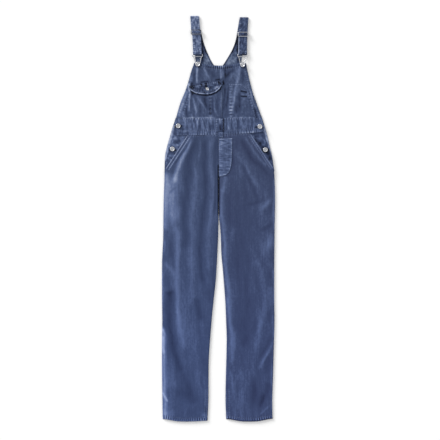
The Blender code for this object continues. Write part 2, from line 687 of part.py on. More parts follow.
def build_buttons():
    """Buttons of the buckles, the flap and the side openings."""
    for side, centre in BIB_BUTTONS.items():
        build_button(f"bib_button_{side}", centre, TACK, highest(centre, TACK.shank, SETTLE))
    on_flap = highest(FLAP_BUTTON, SMALL.shank, level(1, TRIM) + SETTLE)
    build_button("chest_flap_button", FLAP_BUTTON, SMALL, on_flap)
    for place, centre in SIDE_BUTTONS.items():
        lift = SETTLE if place.startswith("upper") else SETTLE - CLOTH - GAP
        build_button(f"side_button_{place}", centre, SIDE_TACK, highest(centre, SIDE_TACK.shank, lift))


def main():
    """Clear the scene and build the whole garment."""
    for old in list(bpy.data.objects):
        bpy.data.objects.remove(old, do_unlink=True)
    build_back()
    build_front()
    for side in ("right", "left"):
        build_strap(side)
        build_slider(side)
        build_buckle(side)
    build_buttons()


main()
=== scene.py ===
"""Washed blue corduroy overalls laid flat, front side up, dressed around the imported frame.

Sizes are millimetres until they reach a mesh. The wearer's right is at -X and the straps at +Y. The
cloth pieces are thin shells on the forms of their solids. The camera looks straight down.
"""
import logging
import math
from collections.abc import Callable, Sequence
from dataclasses import dataclass, field
from enum import Enum

import bmesh
import bpy
import numpy as np
from mathutils import Matrix, Vector
from mathutils.kdtree import KDTree

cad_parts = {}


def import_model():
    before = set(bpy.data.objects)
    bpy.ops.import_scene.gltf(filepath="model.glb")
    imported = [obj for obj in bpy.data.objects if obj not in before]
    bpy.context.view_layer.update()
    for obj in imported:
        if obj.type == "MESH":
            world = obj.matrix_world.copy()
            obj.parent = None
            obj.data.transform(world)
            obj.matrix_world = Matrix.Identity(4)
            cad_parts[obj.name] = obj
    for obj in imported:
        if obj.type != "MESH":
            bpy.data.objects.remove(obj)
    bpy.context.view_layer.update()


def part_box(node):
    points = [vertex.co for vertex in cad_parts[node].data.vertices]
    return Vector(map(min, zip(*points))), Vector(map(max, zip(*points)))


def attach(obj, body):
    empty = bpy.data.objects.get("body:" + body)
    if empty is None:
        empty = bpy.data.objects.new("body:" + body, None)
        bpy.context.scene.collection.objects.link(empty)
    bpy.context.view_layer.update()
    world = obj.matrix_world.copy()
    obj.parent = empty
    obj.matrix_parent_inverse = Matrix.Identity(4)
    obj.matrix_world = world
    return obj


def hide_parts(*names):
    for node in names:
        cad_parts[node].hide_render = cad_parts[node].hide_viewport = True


LOG = logging.getLogger("overalls")
MM = 0.001

# Short names for types
Place = tuple[float, float]
Array = np.ndarray
Pair = tuple[Array, Array]
Rows = Sequence[Sequence[float]]
Mesh = bmesh.types.BMesh
Material = bpy.types.Material
Tree = bpy.types.NodeTree
Socket = bpy.types.NodeSocket

# Cloth and how it is stacked
SLACK = 0.2            # air in a stack of layers
CLOTH = 2.0            # corduroy body panel
TRIM = 1.6             # pockets, flap, facings and plackets
FLY = 1.2              # fly piece
GAP = 0.3              # between pieces that touch when sewn
LAID = 6.3             # top of the front where it lies on the back
EDGE = 2 * CLOTH + GAP + SLACK                  # top of the front at a seam
HIP = 2 * CLOTH + 2 * TRIM + 3 * GAP + SLACK    # and where it covers a facing and a placket
TOUCH = 0.1            # between the front's underside and the back where they are sewn
STRAP = 2.0            # one layer of a strap
LEG_LEAN = 0.016       # how far the wales of a leg lean outwards, as x per y
THREAD_HALF = (0.42, 0.28)    # half the width and half the height of a stitch
THREAD_PROUD = 0.12           # how far its middle stands off the cloth

# Places along the length
TOP = 750.0            # shoulder fold of the longer strap
HEM = -750.0
WAIST_TOP = 372.0      # straight upper edge of the waistband
WAIST_SEAM = 311.0     # its lower edge, at the middle
CROTCH = 76.0
V_BOTTOM = 537.0       # where the V of the back bib ends


class Side(Enum):
    """The wearer's side."""

    RIGHT = "right"
    LEFT = "left"

    @property
    def sign(self) -> int:
        """Direction of this side along X."""
        return -1 if self is Side.RIGHT else 1


class Slot(Enum):
    """The record's material slots."""

    CORDUROY = "corduroy"
    INSIDE = "corduroy_inside"
    NICKEL = "nickel"


class Hold(Enum):
    """How a sheet of cloth is held."""

    LAID = "laid"
    GATHERED = "gathered"
    FOLDED = "folded"


# --- Curves and tables ---

def smooth(low: float, high: float, value: Array) -> Array:
    """0 below low, 1 above high, and a smooth step between."""
    t = np.clip((value - low) / (high - low), 0.0, 1.0)
    return t * t * (3.0 - 2.0 * t)


def along(rows: Rows, y: Array, column: int) -> Array:
    """Read a column of a table at y, on a smooth curve through its rows.

    Args:
        rows: Rows whose first number is y.
        y: Where to read.
        column: Which number of the rows.

    Returns:
        The column's value at each y.
    """
    rows = sorted(rows)
    ys = np.array([row[0] for row in rows], float)
    values = np.array([row[column] for row in rows], float)
    y = np.clip(y, ys[0], ys[-1])
    i = np.clip(np.searchsorted(ys, y) - 1, 0, len(ys) - 2)
    before, after = np.maximum(i - 1, 0), np.minimum(i + 2, len(ys) - 1)
    span = ys[i + 1] - ys[i]
    leave = (values[i + 1] - values[before]) / (ys[i + 1] - ys[before]) * span
    reach = (values[after] - values[i]) / (ys[after] - ys[i]) * span
    t = (y - ys[i]) / span
    return ((2 * t**3 - 3 * t**2 + 1) * values[i] + (t**3 - 2 * t**2 + t) * leave
            + (3 * t**2 - 2 * t**3) * values[i + 1] + (t**3 - t**2) * reach)


def read(rows: Rows, y: float, column: int) -> float:
    """One value of a table's column."""
    return float(along(rows, np.array([y]), column)[0])


def between(rows: Rows, u: Array, y: Array) -> Pair:
    """Places at heights y, a share u of the way from a table's first edge to its second."""
    return along(rows, y, 1) * (1 - u) + along(rows, y, 2) * u, y


def crowded(length: float, pitch: float, insets: tuple[float, ...] = (0.8, 2.0)) -> Array:
    """Shares from 0 to 1 along a length, closer together at both ends.

    Args:
        length: The length.
        pitch: Distance between shares away from the ends.
        insets: Distances of the extra shares from each end.

    Returns:
        The shares in order.
    """
    count = max(round((length - 2 * insets[-1]) / pitch), 1)
    inner = np.linspace(insets[-1], length - insets[-1], count + 1)
    first = np.array(insets[:-1])
    return np.concatenate(([0.0], first, inner, (length - first)[::-1], [length])) / length


def from_run(points: Sequence[Place], x: Array, y: Array) -> Pair:
    """Distance from a run of straight pieces.

    Args:
        points: The run's corners.
        x: Places across.
        y: Places along.

    Returns:
        The distance to the run, and how far along it the nearest point lies.
    """
    best = np.full(x.shape, 1e9)
    where = np.zeros(x.shape)
    done = 0.0
    for (x0, y0), (x1, y1) in zip(points, points[1:]):
        length = math.hypot(x1 - x0, y1 - y0)
        t = np.clip(((x - x0) * (x1 - x0) + (y - y0) * (y1 - y0)) / length**2, 0.0, 1.0)
        away = np.hypot(x - x0 - t * (x1 - x0), y - y0 - t * (y1 - y0))
        nearer = away < best
        best = np.where(nearer, away, best)
        where = np.where(nearer, done + t * length, where)
        done += length
    return best, where


def near_run(points: Sequence[Place], x: Array, y: Array, reach: float) -> Array:
    """Which places lie within a run's box, widened by a reach."""
    across = [point[0] for point in points]
    up = [point[1] for point in points]
    return ((x > min(across) - reach) & (x < max(across) + reach)
            & (y > min(up) - reach) & (y < max(up) + reach))


def inset(points: Sequence[Place], distance: float) -> list[Place]:
    """Move an open run sideways, to its left, by a distance."""
    moved = []
    for i, (x, y) in enumerate(points):
        before, after = points[max(i - 1, 0)], points[min(i + 1, len(points) - 1)]
        run = Vector((after[0] - before[0], after[1] - before[1])).normalized()
        moved.append((x - run.y * distance, y + run.x * distance))
    return moved


# --- Relief ---

@dataclass(frozen=True)
class Fold:
    """A soft ridge or, where its rise is negative, a trough: its crest painted pale as wear and highlight,
    its floor as shade.
    """

    points: tuple[Place, ...]
    spread: float
    rise: float
    tone: float
    fade: float = 0.35     # share of its length over which each end dies away


def creases(*rows: Sequence[float]) -> tuple[Fold, ...]:
    """Folds from rows of spread, rise, tone, fade unless it is the usual one, and x and y of each corner."""
    made = []
    for row in rows:
        head = 4 - len(row) % 2    # a row without a fade has an odd number of values
        made.append(Fold(tuple(zip(row[head::2], row[head + 1::2])), *row[:head]))
    return tuple(made)


@dataclass(frozen=True)
class Seam:
    """A sewn line: a shallow groove with worn lips, and the cloth puckered beside it, painted light and
    shade.
    """

    points: tuple[Place, ...]
    pucker: float = 0.35      # height of the puckers, from one to the next, and how far they reach
    pitch: float = 8.0
    reach: float = 5.0
    light: float = 0.3        # tone of the line
    groove: float = 0.3       # depth of the line
    contrast: float = 0.3     # painted light and shade of the puckers, lighter where they rise
    sewn: bool = True         # whether stitches show


@dataclass(frozen=True)
class Crumple:
    """Small uneven dents from washing, as smooth seeded noise on cells of a real size; rises painted light,
    dents as shade.
    """

    across: float
    up: float
    rise: float
    tone: float
    seed: int
    cells: int = 64        # after which the noise repeats
    slant: float = 0.31    # how far the cells lean, so that they don't line up with the cut

    def at(self, x: Array, y: Array) -> Array:
        """Noise from -1 to 1 at each place."""
        rng = np.random.default_rng(self.seed)
        lattice = rng.uniform(-1.0, 1.0, (self.cells, self.cells))
        u, v = x / self.across + self.slant * y / self.up, y / self.up
        i, j = np.floor(u).astype(int), np.floor(v).astype(int)
        s, t = u - i, v - j
        s, t = s * s * (3 - 2 * s), t * t * (3 - 2 * t)
        corner = [lattice[(i + a) % self.cells, (j + b) % self.cells] for a in (0, 1) for b in (0, 1)]
        return ((corner[0] * (1 - t) + corner[1] * t) * (1 - s)
                + (corner[2] * (1 - t) + corner[3] * t) * s)


@dataclass
class Surface:
    """The top face of one or more pieces, as a height and a tone at each place.

    The tone runs from -1, for deep painted shade, to 1, for worn pale nap and painted highlight.
    """

    base: Callable[[Array, Array], Pair]
    lift: float = 0.0
    tone: float = 0.0
    folds: tuple[Fold, ...] = ()
    lines: tuple[Fold, ...] = ()
    seams: tuple[Seam, ...] = ()
    crumples: tuple[Crumple, ...] = ()
    share: Callable[[Array, Array], Array] | None = None
    lowest: float = -10.0
    fold_rise: float = 1.25        # by how much the folds' rise and tone are strengthened
    fold_tone: float = 1.0
    sway: float = 2.0              # how far a fold wanders to its sides
    longest_fade: float = 45.0     # over which a long fold's ends die away
    thread: float = 1.7            # spread of a seam's line

    def at(self, x: Array, y: Array) -> Pair:
        """Height and tone at each place."""
        x, y = np.asarray(x, float), np.asarray(y, float)
        height, tone = self.base(x, y)
        extra, shade = self.folded(x, y)
        for crumple in self.crumples:
            noise = crumple.at(x, y)
            extra += noise * crumple.rise
            shade += noise * crumple.tone
        if self.share is not None:
            extra *= self.share(x, y)
        for seam in self.seams:
            raised, lit = self.sewn(seam, x, y)
            extra += raised
            shade += lit
        height = np.maximum(height + self.lift + extra, self.lowest)
        return height, tone + self.tone + shade

    def folded(self, x: Array, y: Array) -> Pair:
        """What the folds, which wander a little, and the straight lines add to the height and the tone."""
        extra, shade = np.zeros(x.shape), np.zeros(x.shape)
        bent = x + self.sway * np.sin(y / 31.0 + 0.8) + 0.5 * self.sway * np.sin(y / 12.7 + x / 40.0)
        placed = [(fold, bent) for fold in self.folds] + [(line, x) for line in self.lines]
        for fold, across in placed:
            near = near_run(fold.points, across, y, 3.0 * fold.spread)
            away, run = from_run(fold.points, across[near], y[near])
            weight = np.exp(-(away / fold.spread) ** 2)
            if fold.fade > 0.0:
                length = sum(math.dist(a, b) for a, b in zip(fold.points, fold.points[1:]))
                fade = min(fold.fade * length, self.longest_fade)
                weight *= smooth(-0.15 * fade, fade, run) * smooth(-0.15 * fade, fade, length - run)
            extra[near] += fold.rise * self.fold_rise * weight
            shade[near] += fold.tone * self.fold_tone * weight
        return extra, shade

    def sewn(self, seam: Seam, x: Array, y: Array) -> Pair:
        """What one seam adds to the height and the tone."""
        raised, lit = np.zeros(x.shape), np.zeros(x.shape)
        near = near_run(seam.points, x, y, 3.0 * seam.reach)
        away, run = from_run(seam.points, x[near], y[near])
        phase = seam.points[0][0] * 0.7 + seam.points[0][1] * 0.3
        turn = 2 * math.pi * run / seam.pitch + 1.4 * np.sin(run / 17.0 + phase) + phase
        wave = np.sin(turn) * (0.65 + 0.35 * np.sin(run / 23.0 + 2 * phase))
        beside = np.exp(-(away / seam.reach) ** 2)
        line = np.exp(-(away / self.thread) ** 2)
        raised[near] = seam.pucker * wave * beside - seam.groove * line
        # The line gets its own tone; the puckers are painted lighter where they rise and darker where they
        # sink, as light and shade
        lit[near] = seam.light * line * (0.8 + 0.35 * wave) + seam.contrast * wave * beside
        return raised, lit

    def point(self, x: float, y: float) -> Vector:
        """One place on the surface."""
        height, _ = self.at(np.array([x]), np.array([y]))
        return Vector((x, y, float(height[0])))

    def up(self, x: float, y: float) -> Vector:
        """Direction away from the surface, near enough for a stitch."""
        return Vector((0.0, 0.0, 1.0))


# --- The garment's form ---

# Waist seam across the garment, higher on the wearer's left: x and y
WAIST_LINE = (
    (-182.0, 307.5), (-60.0, 308.5), (0.0, WAIST_SEAM), (90.0, 314.0), (140.0, 318.0), (186.0, 326.0))
# Outline of each leg, from the waist down: y, side seam and inside seam
LEG_EDGES = {
    Side.RIGHT: (
        (330, -171.3, -0.2), (WAIST_SEAM, -177.5, -0.2), (270, -189.5, -0.2), (228, -198.0, -0.2),
        (143, -200.0, -0.2), (CROTCH, -202.5, -0.2), (12, -203.8, -0.2), (-35, -204.2, -0.8),
        (-79, -205.0, -2.0), (-153, -208.5, -5.6), (-227, -209.0, -10.2), (-301, -208.8, -18.2),
        (-375, -208.0, -25.6), (-523, -209.0, -36.0), (-671, -207.6, -37.6), (HEM, -206.0, -41.2)),
    Side.LEFT: (
        (330, 174.0, 0.2), (WAIST_SEAM, 179.6, 0.2), (270, 188.6, 0.2), (228, 198.8, 0.2), (180, 204.4, 0.2),
        (143, 207.2, 0.2), (CROTCH, 209.0, 0.2), (12, 208.2, 1.6), (-35, 207.4, 6.6), (-79, 206.8, 8.7),
        (-135, 206.2, 10.8), (-190, 205.8, 16.0), (-301, 205.8, 24.6), (-375, 206.8, 27.9),
        (-449, 205.0, 30.2), (-597, 201.0, 26.8), (-671, 198.6, 25.8), (HEM, 199.8, 28.6)),
}
# How far a leg's bottom rises at its side and inside seams, over which width, and the hem's depth
HEM_LIFT = {Side.RIGHT: (9.0, 3.0), Side.LEFT: (10.0, 9.0)}
HEM_ROUND = 90.0
HEM_DEPTH = 13.0

# Sides of the bib, the waistband and the back waistband: y, the wearer's right edge and left edge
BIB_SIDES = (
    (WAIST_TOP, -157.5, 160.2), (432, -139.4, 138.4), (468, -124.4, 126.0), (506, -111.6, 116.0),
    (543, -101.4, 107.8), (579, -88.6, 100.6))
BAND_SIDES = ((WAIST_SEAM, -164.0, 168.6), (340, -163.0, 166.6), (WAIST_TOP, -157.5, 160.2))
BACK_BAND = (
    (300, -180.8, 183.0), (WAIST_SEAM, -177.5, 179.8), (340, -169.2, 171.2), (WAIST_TOP, -158.8, 161.4))
# Top edge of the bib at the middle and above the buttons, and the buttons' places
BIB_TOP_MIDDLE = 565.9
BIB_TOP_PEAK = 579.0
BIB_BUTTONS = {Side.RIGHT: (-77.1, 570.7), Side.LEFT: (88.6, 568.5)}

# Back bib halves: y, arm edge and the edge at the middle or along the V
BACK_BIB = {
    Side.RIGHT: (
        (WAIST_TOP, -135, -0.2), (440, -110, -0.2), (500, -80, -0.2), (V_BOTTOM, -73, -0.2), (552, -75, -6.6),
        (580, -84, -25.4), (602, -87, -36.2), (624, -89, -45.8), (646, -91, -53.8), (668, -93, -59.2),
        (696, -97, -65.4)),
    Side.LEFT: (
        (WAIST_TOP, 138, 0.2), (440, 114, 0.2), (500, 92, 0.2), (V_BOTTOM, 84, 0.2), (552, 83, 6.8),
        (580, 84, 24.6), (602, 88, 38.0), (624, 92, 50.2), (646, 96, 59.2), (668, 101, 65.2),
        (696, 104, 69.8)),
}

# Slant pocket edge, its facing and the placket beyond it
SLANT = {Side.RIGHT: ((-115, 307.5), (-193, 187.5)), Side.LEFT: ((120, 311), (201, 190))}
FACING = {
    Side.RIGHT: ((-161, 312), (-191.8, 228), (-197.5, 175), (-168, 175), (-94, 312)),
    Side.LEFT: ((162, 328), (197.6, 228), (206.8, 175), (176, 175), (92, 328)),
}
PLACKET_TOP = 345.0
PLACKET_END = 214.0
PLACKET_WIDTH = 26.0

# Joined edges, which lie flush: along the waistband's top, and down the middle of the front
BAND_TOP_RUN = ((-157.5, WAIST_TOP), (160.2, WAIST_TOP))
CENTRE_SEAM = ((0.0, WAIST_SEAM), (0.0, CROTCH))

# Outlines of the small pieces
FLAP_CURVE = (
    (-109.5, 488), (-108.5, 480), (-101.5, 472.5), (-87, 464), (-69.5, 459), (-47, 457), (-28, 459),
    (-9, 466.5), (5.5, 479), (14.5, 494))
FLAP = (*FLAP_CURVE, (15, 511), (-90, 497))
POCKET_FOOT = WAIST_TOP + GAP    # lower edge of both pockets
CHEST_POCKET = ((-104, 486), (-136.5, POCKET_FOOT), (13, POCKET_FOOT), (13, 507), (-88, 494))
PEN_POCKET = ((38, 498), (38, POCKET_FOOT), (141.5, POCKET_FOOT), (112, 470), (104, 485), (86, 498))
BAND_LOOP = ((-10, 369), (-10, 321), (19.5, 321), (19.5, 369))
BAND_TAB = ((0, 319.4), (15, 319.4), (15, 300), (0, 300))
FLY_CURVE = ((1.5, 156), (15, 157), (29, 162), (40, 173), (46, 191), (49.5, 220), (51, 297))
FLY_OUTLINE = ((1.5, 297), *FLY_CURVE)
PEN_SLITS = (((81, 471.5), (105, 466.5)), ((82, 452), (106, 451)))

# Places of the side buttons
SIDE_BUTTONS = {
    "upper_right": (-148.9, 342.4), "lower_right": (-170.4, 257.3),
    "upper_left": (152.6, 339.8), "lower_left": (173.0, 254.4)}

# Main creases, as rows for creases
# Their tone is painted shade in the troughs and painted highlight on the crests, with worn nap
BIB_FOLDS = creases(
    (3.6, 0.6, 0.8, 0.1, -79, 566, -80.5, 535, -81.5, 496), (5.0, -0.4, -0.45, -88, 556, -93, 488),
    (4.0, 0.3, 0.45, -101, 535, -109, 498), (9.0, -0.5, -0.32, -66, 558, -67, 503),
    (5.5, 0.8, 0.42, -60, 564, -46, 536, -31, 512), (9.0, -0.7, -0.45, -38, 556, -22, 530, -6, 514),
    (3.2, 0.6, 0.6, 0.2, 7, 556, 7, 512), (3.4, 0.4, 0.35, 14.5, 554, 14, 516),
    (5.0, 0.3, 0.8, 0.0, 3, 562, 17, 561), (6.0, 0.0, -0.5, 0.1, -48, 559, -20, 558, 22, 558, 62, 560),
    (4.2, -0.7, -0.7, 23, 562, 23, 508), (6.0, -0.6, -0.55, 64, 553, 43, 542, 32, 530, 26, 512),
    (5.0, 0.5, 0.24, 60, 543, 46, 524, 33, 506), (6.5, 0.9, 0.5, 0.1, 82, 566, 75, 540, 69, 514, 66, 495),
    (5.0, 0.9, 0.62, 0.12, 65, 496, 62, 470, 58, 440, 55, 415, 51, 385),
    (6.5, -0.6, -0.48, 88, 556, 88, 495), (4.0, 0.3, 0.2, 104, 540, 110, 505),
    (4.2, 0.5, 0.45, 108, 487, 120, 464, 126, 430, 131, 398),
    (5.5, -0.6, -0.7, 133, 415, 140, 388, 142, 358), (4.0, 0.3, 0.3, 149, 392, 154, 368),
    (8.0, 0.5, 0.55, -112, 480, -122, 452, -136, 420), (3.6, -0.5, -1.2, 0.0, -97, 467, -95, 460),
    (3.8, 0.6, 0.75, 0.15, -103, 470, -106, 440, -107, 415, -109, 392),
    (6.0, 0.4, 0.62, 0.15, -128, 432, -139, 402, -148, 372),
    (4.0, 0.8, 0.62, -92, 458, -88, 430, -82, 400, -80, 368),
    (4.4, 0.6, 0.36, -88, 458, -68, 440, -54, 420, -45, 400, -41, 384),
    (4.5, -0.4, -0.2, -101, 446, -101, 396), (4.6, -0.6, -0.5, -68, 428, -64, 382),
    (6.5, -0.7, -0.6, -53, 457, -45, 425, -38, 392), (4.0, -0.5, -0.55, -120, 415, -113, 372),
    (4.0, 0.4, 0.3, -131, 400, -125, 376), (4.5, -0.3, -0.5, -29, 428, -29, 374),
    (2.8, -0.4, -0.6, -20, 455, -18, 410, -20, 378), (4.0, 0.6, 0.34, -17, 435, -12, 402, -2, 378),
    (6.5, -0.6, -0.42, -2, 455, 0, 385), (4.0, 0.6, 0.38, 11, 474, 12, 430, 14, 382),
    (4.2, -0.7, -0.5, 0.2, 23, 492, 23, 388), (4.0, -0.5, -0.6, 34, 496, 34, 440, 31, 396),
    (6.5, 0.4, 0.34, 0.1, 46, 502, 46, 368), (4.8, -0.6, -0.6, 80, 482, 79, 430, 80, 384),
    (5.5, -0.5, -0.5, 70, 428, 68, 382), (5.0, 0.4, 0.16, 94, 445, 94, 385),
    (3.8, -0.4, -0.4, 113, 448, 119, 412, 121, 388),
)
WAIST_FOLDS = creases(
    (4.0, 0.4, 0.35, -142, 417, -156, 383), (2.8, 0.7, 0.5, -125, 379, -123, 332),
    (2.5, -0.5, -0.45, -135, 374, -132, 346), (2.5, -0.6, -0.48, -112, 385, -108, 330),
    (2.8, 0.7, 0.5, -96, 392, -92, 330), (2.2, -0.6, -0.5, -85, 372, -84, 330),
    (2.2, 0.6, 0.5, -78, 371, -77, 340), (2.5, -0.6, -0.5, -70, 374, -69, 322),
    (2.3, 0.7, 0.6, -60, 374, -58, 350), (2.6, -0.7, -0.75, -51, 367, -50, 322),
    (2.3, 0.7, 0.55, -42, 376, -40, 346), (2.6, -0.7, -0.7, -34, 366, -32, 322),
    (2.2, 0.5, 0.5, -26, 372, -26, 345), (2.4, -0.5, -0.5, -20, 366, -19, 330),
    (2.0, 0.4, 0.35, -13, 370, -14, 324), (3.0, 0.8, 0.5, 26, 372, 27, 322),
    (2.8, 0.7, 0.6, 36, 360, 37, 318), (2.6, -0.5, -0.35, 46, 370, 47, 330),
    (2.4, 0.5, 0.35, 53, 372, 53, 332), (2.3, 0.6, 0.4, 61, 372, 66, 332),
    (3.2, -0.7, -0.6, 70, 370, 72, 322), (2.5, 0.5, 0.4, 84, 380, 86, 338),
    (2.2, -0.4, -0.35, 92, 374, 94, 336), (2.3, 0.5, 0.4, 99, 383, 101, 332),
    (2.3, -0.5, -0.4, 106, 377, 108, 332), (2.3, 0.6, 0.45, 115, 380, 117, 338),
    (2.5, -0.4, -0.4, 125, 377, 127, 338), (4.5, -0.5, -0.7, 140, 376, 141, 350),
    (4.5, 0.5, 0.55, 0.2, -156, 327, -128, 322, -106, 325),
    (5.0, -0.4, -1.1, 0.2, -164, 350, -167, 326, -163, 304),
    (4.0, 0.5, 0.7, 0.15, 78, 316, 105, 318, 136, 321), (6.0, 0.3, 0.5, 0.0, -142, 362, -136, 350),
    # Worn cloth along the waistband's upper edge, painted lighter too, to lift the shade at the pockets'
    # lower edges
    (2.6, 0.0, 0.55, 0.1, -140, 373.0, -8, 374.0), (2.6, 0.0, 0.5, 0.1, 24, 374.0, 142, 373.0),
)
RIGHT_LEG_FOLDS = creases(
    # Out from the slant pocket, then down the outside
    (9.0, 0.9, 0.8, 0.12, -98, 300, -110, 268, -122, 240, -134, 216, -143, 198, -152, 175, -159, 150, -165,
     128),
    (2.6, -0.5, -0.4, 0.1, -104, 292, -118, 264, -138, 232, -160, 200),
    (24.0, 0.9, 0.62, 0.2, -160, 175, -169, 120, -168, 70, -163, 20, -158, -30),
    (12.0, 0.2, 0.6, 0.1, -190, 180, -195, 140, -196, 80, -196, 20, -198, -50),
    (4.5, -0.3, -0.3, -186, 92, -170, 108, -158, 118),
    (10.0, 1.0, 0.44, 0.1, -157, -10, -153, -50, -150, -100, -149, -180, -152, -250, -151, -300, -146,
     -345, -140, -400, -134, -450, -130, -500),
    (12.0, 0.2, 0.14, -172, 0, -173, -70), (8.5, -0.4, -0.2, -177, -78, -175, -120, -173, -158),
    (4.5, 0.3, 0.35, -202, -60, -201, -100, -204, -140),
    (9.0, 0.5, 0.28, -203, -150, -188, -172, -170, -192, -160, -225),
    (6.0, -0.2, -0.16, -196, -200, -196, -258), (6.5, -0.3, -0.3, 0.0, -170, -270, -192, -276),
    (13.0, -0.8, -0.6, 0.06, -181, -262, -182, -310, -181, -360, -178, -410, -172, -455, -164, -490, -152,
     -520, -141, -550, -132, -575),
    (15.0, -0.6, -0.42, 0.12, -134, -565, -122, -600, -108, -630, -97, -660, -90, -690),
    (3.4, 0.3, 0.3, -208, -170, -207, -336),
    (9.0, 0.4, 0.75, 0.05, -205, -395, -204, -440, -202, -500, -200, -560, -200, -640, -197, -700, -195,
     -740),
    (6.0, 0.3, 0.45, 0.2, -207, -425, -206, -470, -203, -505),
    (16.0, 0.2, 0.2, -182, -540, -176, -590, -172, -640), (3.1, 0.6, 0.4, -208, -399, -195, -436),
    (3.6, 0.7, 0.6, 0.12, -209, -640, -201, -658, -188, -678), (20.0, 0.2, 0.26, -185, -705, -172, -742),
    # Long creases of the front
    (13.0, -0.8, -0.42, 0.08, -86, 302, -94, 262, -104, 228, -110, 190, -114, 150, -118, 100, -121, 60,
     -123, 0, -121, -60, -126, -125),
    (4.5, 0.5, 0.26, -66, 302, -67, 250, -72, 205),
    (10.5, 0.7, 0.22, 0.08, -84, 215, -83, 160, -82, 110, -87, 60, -95, 25, -101, -20, -101, -80, -98,
     -140, -96, -220, -98, -290, -106, -340),
    (10.0, -0.8, -0.45, 0.06, -50, 302, -49, 240, -49, 160, -46, 90, -50, 45, -57, 0, -64, -60, -66, -110,
     -63, -180, -58, -250),
    (8.5, 0.8, 0.26, 0.06, -29, 302, -28, 240, -26, 180, -21, 120, -20, 80, -23, 40, -30, 0, -37, -45, -38,
     -100, -36, -160, -33, -205),
    (5.0, -0.4, -0.35, 0.1, -10, 300, -10, 200, -11, 100, -13, 10),
    (4.0, -0.3, -0.26, 0.08, -6, -10, -9, -100, -16, -200, -22, -280),
    (10.0, -0.3, -0.24, -46, -255, -32, -288, -28, -322),
    (11.0, -0.6, -0.45, 0.2, -83, -288, -77, -318, -67, -350, -58, -384),
    (12.0, -0.2, -0.14, -56, -410, -55, -500, -56, -590),
    (20.0, 0.5, 0.14, -128, -330, -116, -420, -100, -500, -88, -560),
    (7.0, 0.5, 0.14, -78, -530, -72, -600, -62, -650, -58, -700),
    (20.0, -0.5, -0.28, -165, -640, -125, -650, -95, -668), (16.0, -0.2, -0.15, -120, -712, -80, -720),
    (6.0, 0.3, 0.3, -60, -716, -50, -730, -44, -742), (5.0, -0.3, -0.4, 0.0, -50, -700, -48, -712),
)
LEFT_LEG_FOLDS = creases(
    # Beside the inside seam
    (9.0, 0.3, 0.32, 0.1, 26, 158, 20, 130, 15, 95),
    (8.5, 0.9, 0.36, 0.05, 12, 110, 12, 60, 13, 20, 17, -20, 21, -70, 24, -120, 30, -200, 36, -280, 42,
     -350, 47, -400, 50, -460, 51, -545),
    (11.0, 0.2, 0.2, 54, -375, 58, -440, 54, -500), (11.0, -0.5, -0.2, 44, 125, 42, 60, 46, 0, 50, -45),
    (6.0, -0.4, -0.32, 57, 240, 56, 175),
    (30.0, -0.5, -0.16, 0.1, 86, 120, 84, 0, 82, -80, 86, -160, 95, -250, 105, -330, 108, -400, 98, -450,
     84, -480),
    (12.0, -0.3, -0.14, 112, -270, 112, -330, 112, -400),
    (12.0, -0.4, -0.26, 108, -425, 98, -455, 84, -478),
    # From the slant pocket
    (9.0, -0.8, -0.45, 0.15, 82, 296, 100, 260, 126, 222, 152, 192),
    (5.5, 0.7, 0.3, 0.1, 96, 304, 110, 280, 130, 250, 152, 224, 182, 192),
    (6.5, 0.4, 0.12, 58, 262, 74, 234, 88, 208, 98, 190), (6.0, -0.4, -0.24, 66, 304, 68, 245),
    (6.5, -0.6, -0.3, 0.15, 90, 205, 104, 165, 118, 128, 132, 95, 150, 66, 160, 58),
    (7.0, 0.5, 0.18, 0.15, 94, 216, 106, 182, 119, 158, 134, 134, 150, 108),
    (7.5, -0.6, -0.34, 142, 212, 168, 182, 193, 148), (7.0, 0.3, 0.14, 82, 205, 86, 135),
    (6.0, -0.5, -0.32, 100, 50, 130, 54, 152, 60, 168, 74),
    # Down the outside
    (26.0, 0.3, 0.12, 166, 125, 166, 0, 163, -120), (8.0, 0.8, 0.32, 155, 26, 170, 40, 184, 58, 200, 80),
    (5.0, 0.2, 0.4, 0.1, 204, 160, 206, 90, 206, 20, 206, -50), (8.0, -0.4, -0.22, 197, 52, 196, 18),
    (8.0, -0.5, -0.3, 208, -14, 182, -32, 152, -48),
    (15.0, 0.6, 0.26, 204, -52, 188, -82, 172, -115, 174, -155),
    (12.0, 0.6, 0.2, 0.15, 148, -145, 162, -195, 161, -240, 169, -290, 168, -335, 163, -370, 153, -410,
     143, -450, 136, -490),
    (10.0, 0.2, 0.14, 140, -148, 146, -178), (8.0, -0.3, -0.2, 191, -192, 190, -228),
    (12.0, 0.3, 0.18, 188, -238, 187, -335), (4.0, 0.2, 0.4, 0.1, 205, -180, 204, -320),
    (8.0, -0.4, -0.28, 192, -335, 190, -390), (5.0, 0.2, 0.3, 204, -400, 203, -455),
    # Below the knee
    (6.5, 0.8, 0.3, 0.15, 204, -446, 188, -486, 168, -524, 150, -560),
    (7.0, -0.5, -0.26, 192, -436, 172, -482, 152, -522),
    (10.0, -0.5, -0.3, 193, -505, 182, -545, 172, -580),
    (8.5, -0.7, -0.4, 0.15, 187, -602, 177, -640, 163, -672, 150, -702),
    (14.0, -0.6, -0.42, 130, -578, 131, -640, 127, -705), (14.0, -0.3, -0.24, 162, -640, 160, -700),
    (13.0, 0.4, 0.2, 88, -545, 92, -610, 88, -660, 66, -712),
    (5.5, 0.5, 0.24, 44, -545, 50, -600, 57, -650), (3.6, -0.3, -0.35, 0.15, 31, -600, 32, -660, 36, -728),
    (3.6, 0.6, 0.24, 192, -688, 172, -706, 148, -732),
    (4.0, 0.2, 0.3, 0.1, 200, -470, 198, -600, 197, -720),
)
# Buttonholes, as the ends that show beside each side button, painted dark as shade in the slit
BUTTONHOLES = {
    "upper_right": ((-165, 339.5), (-133, 342.5)), "lower_right": ((-184, 255), (-155, 253)),
    "upper_left": ((133, 338), (167, 336.5)), "lower_left": ((157, 252), (189, 255))}
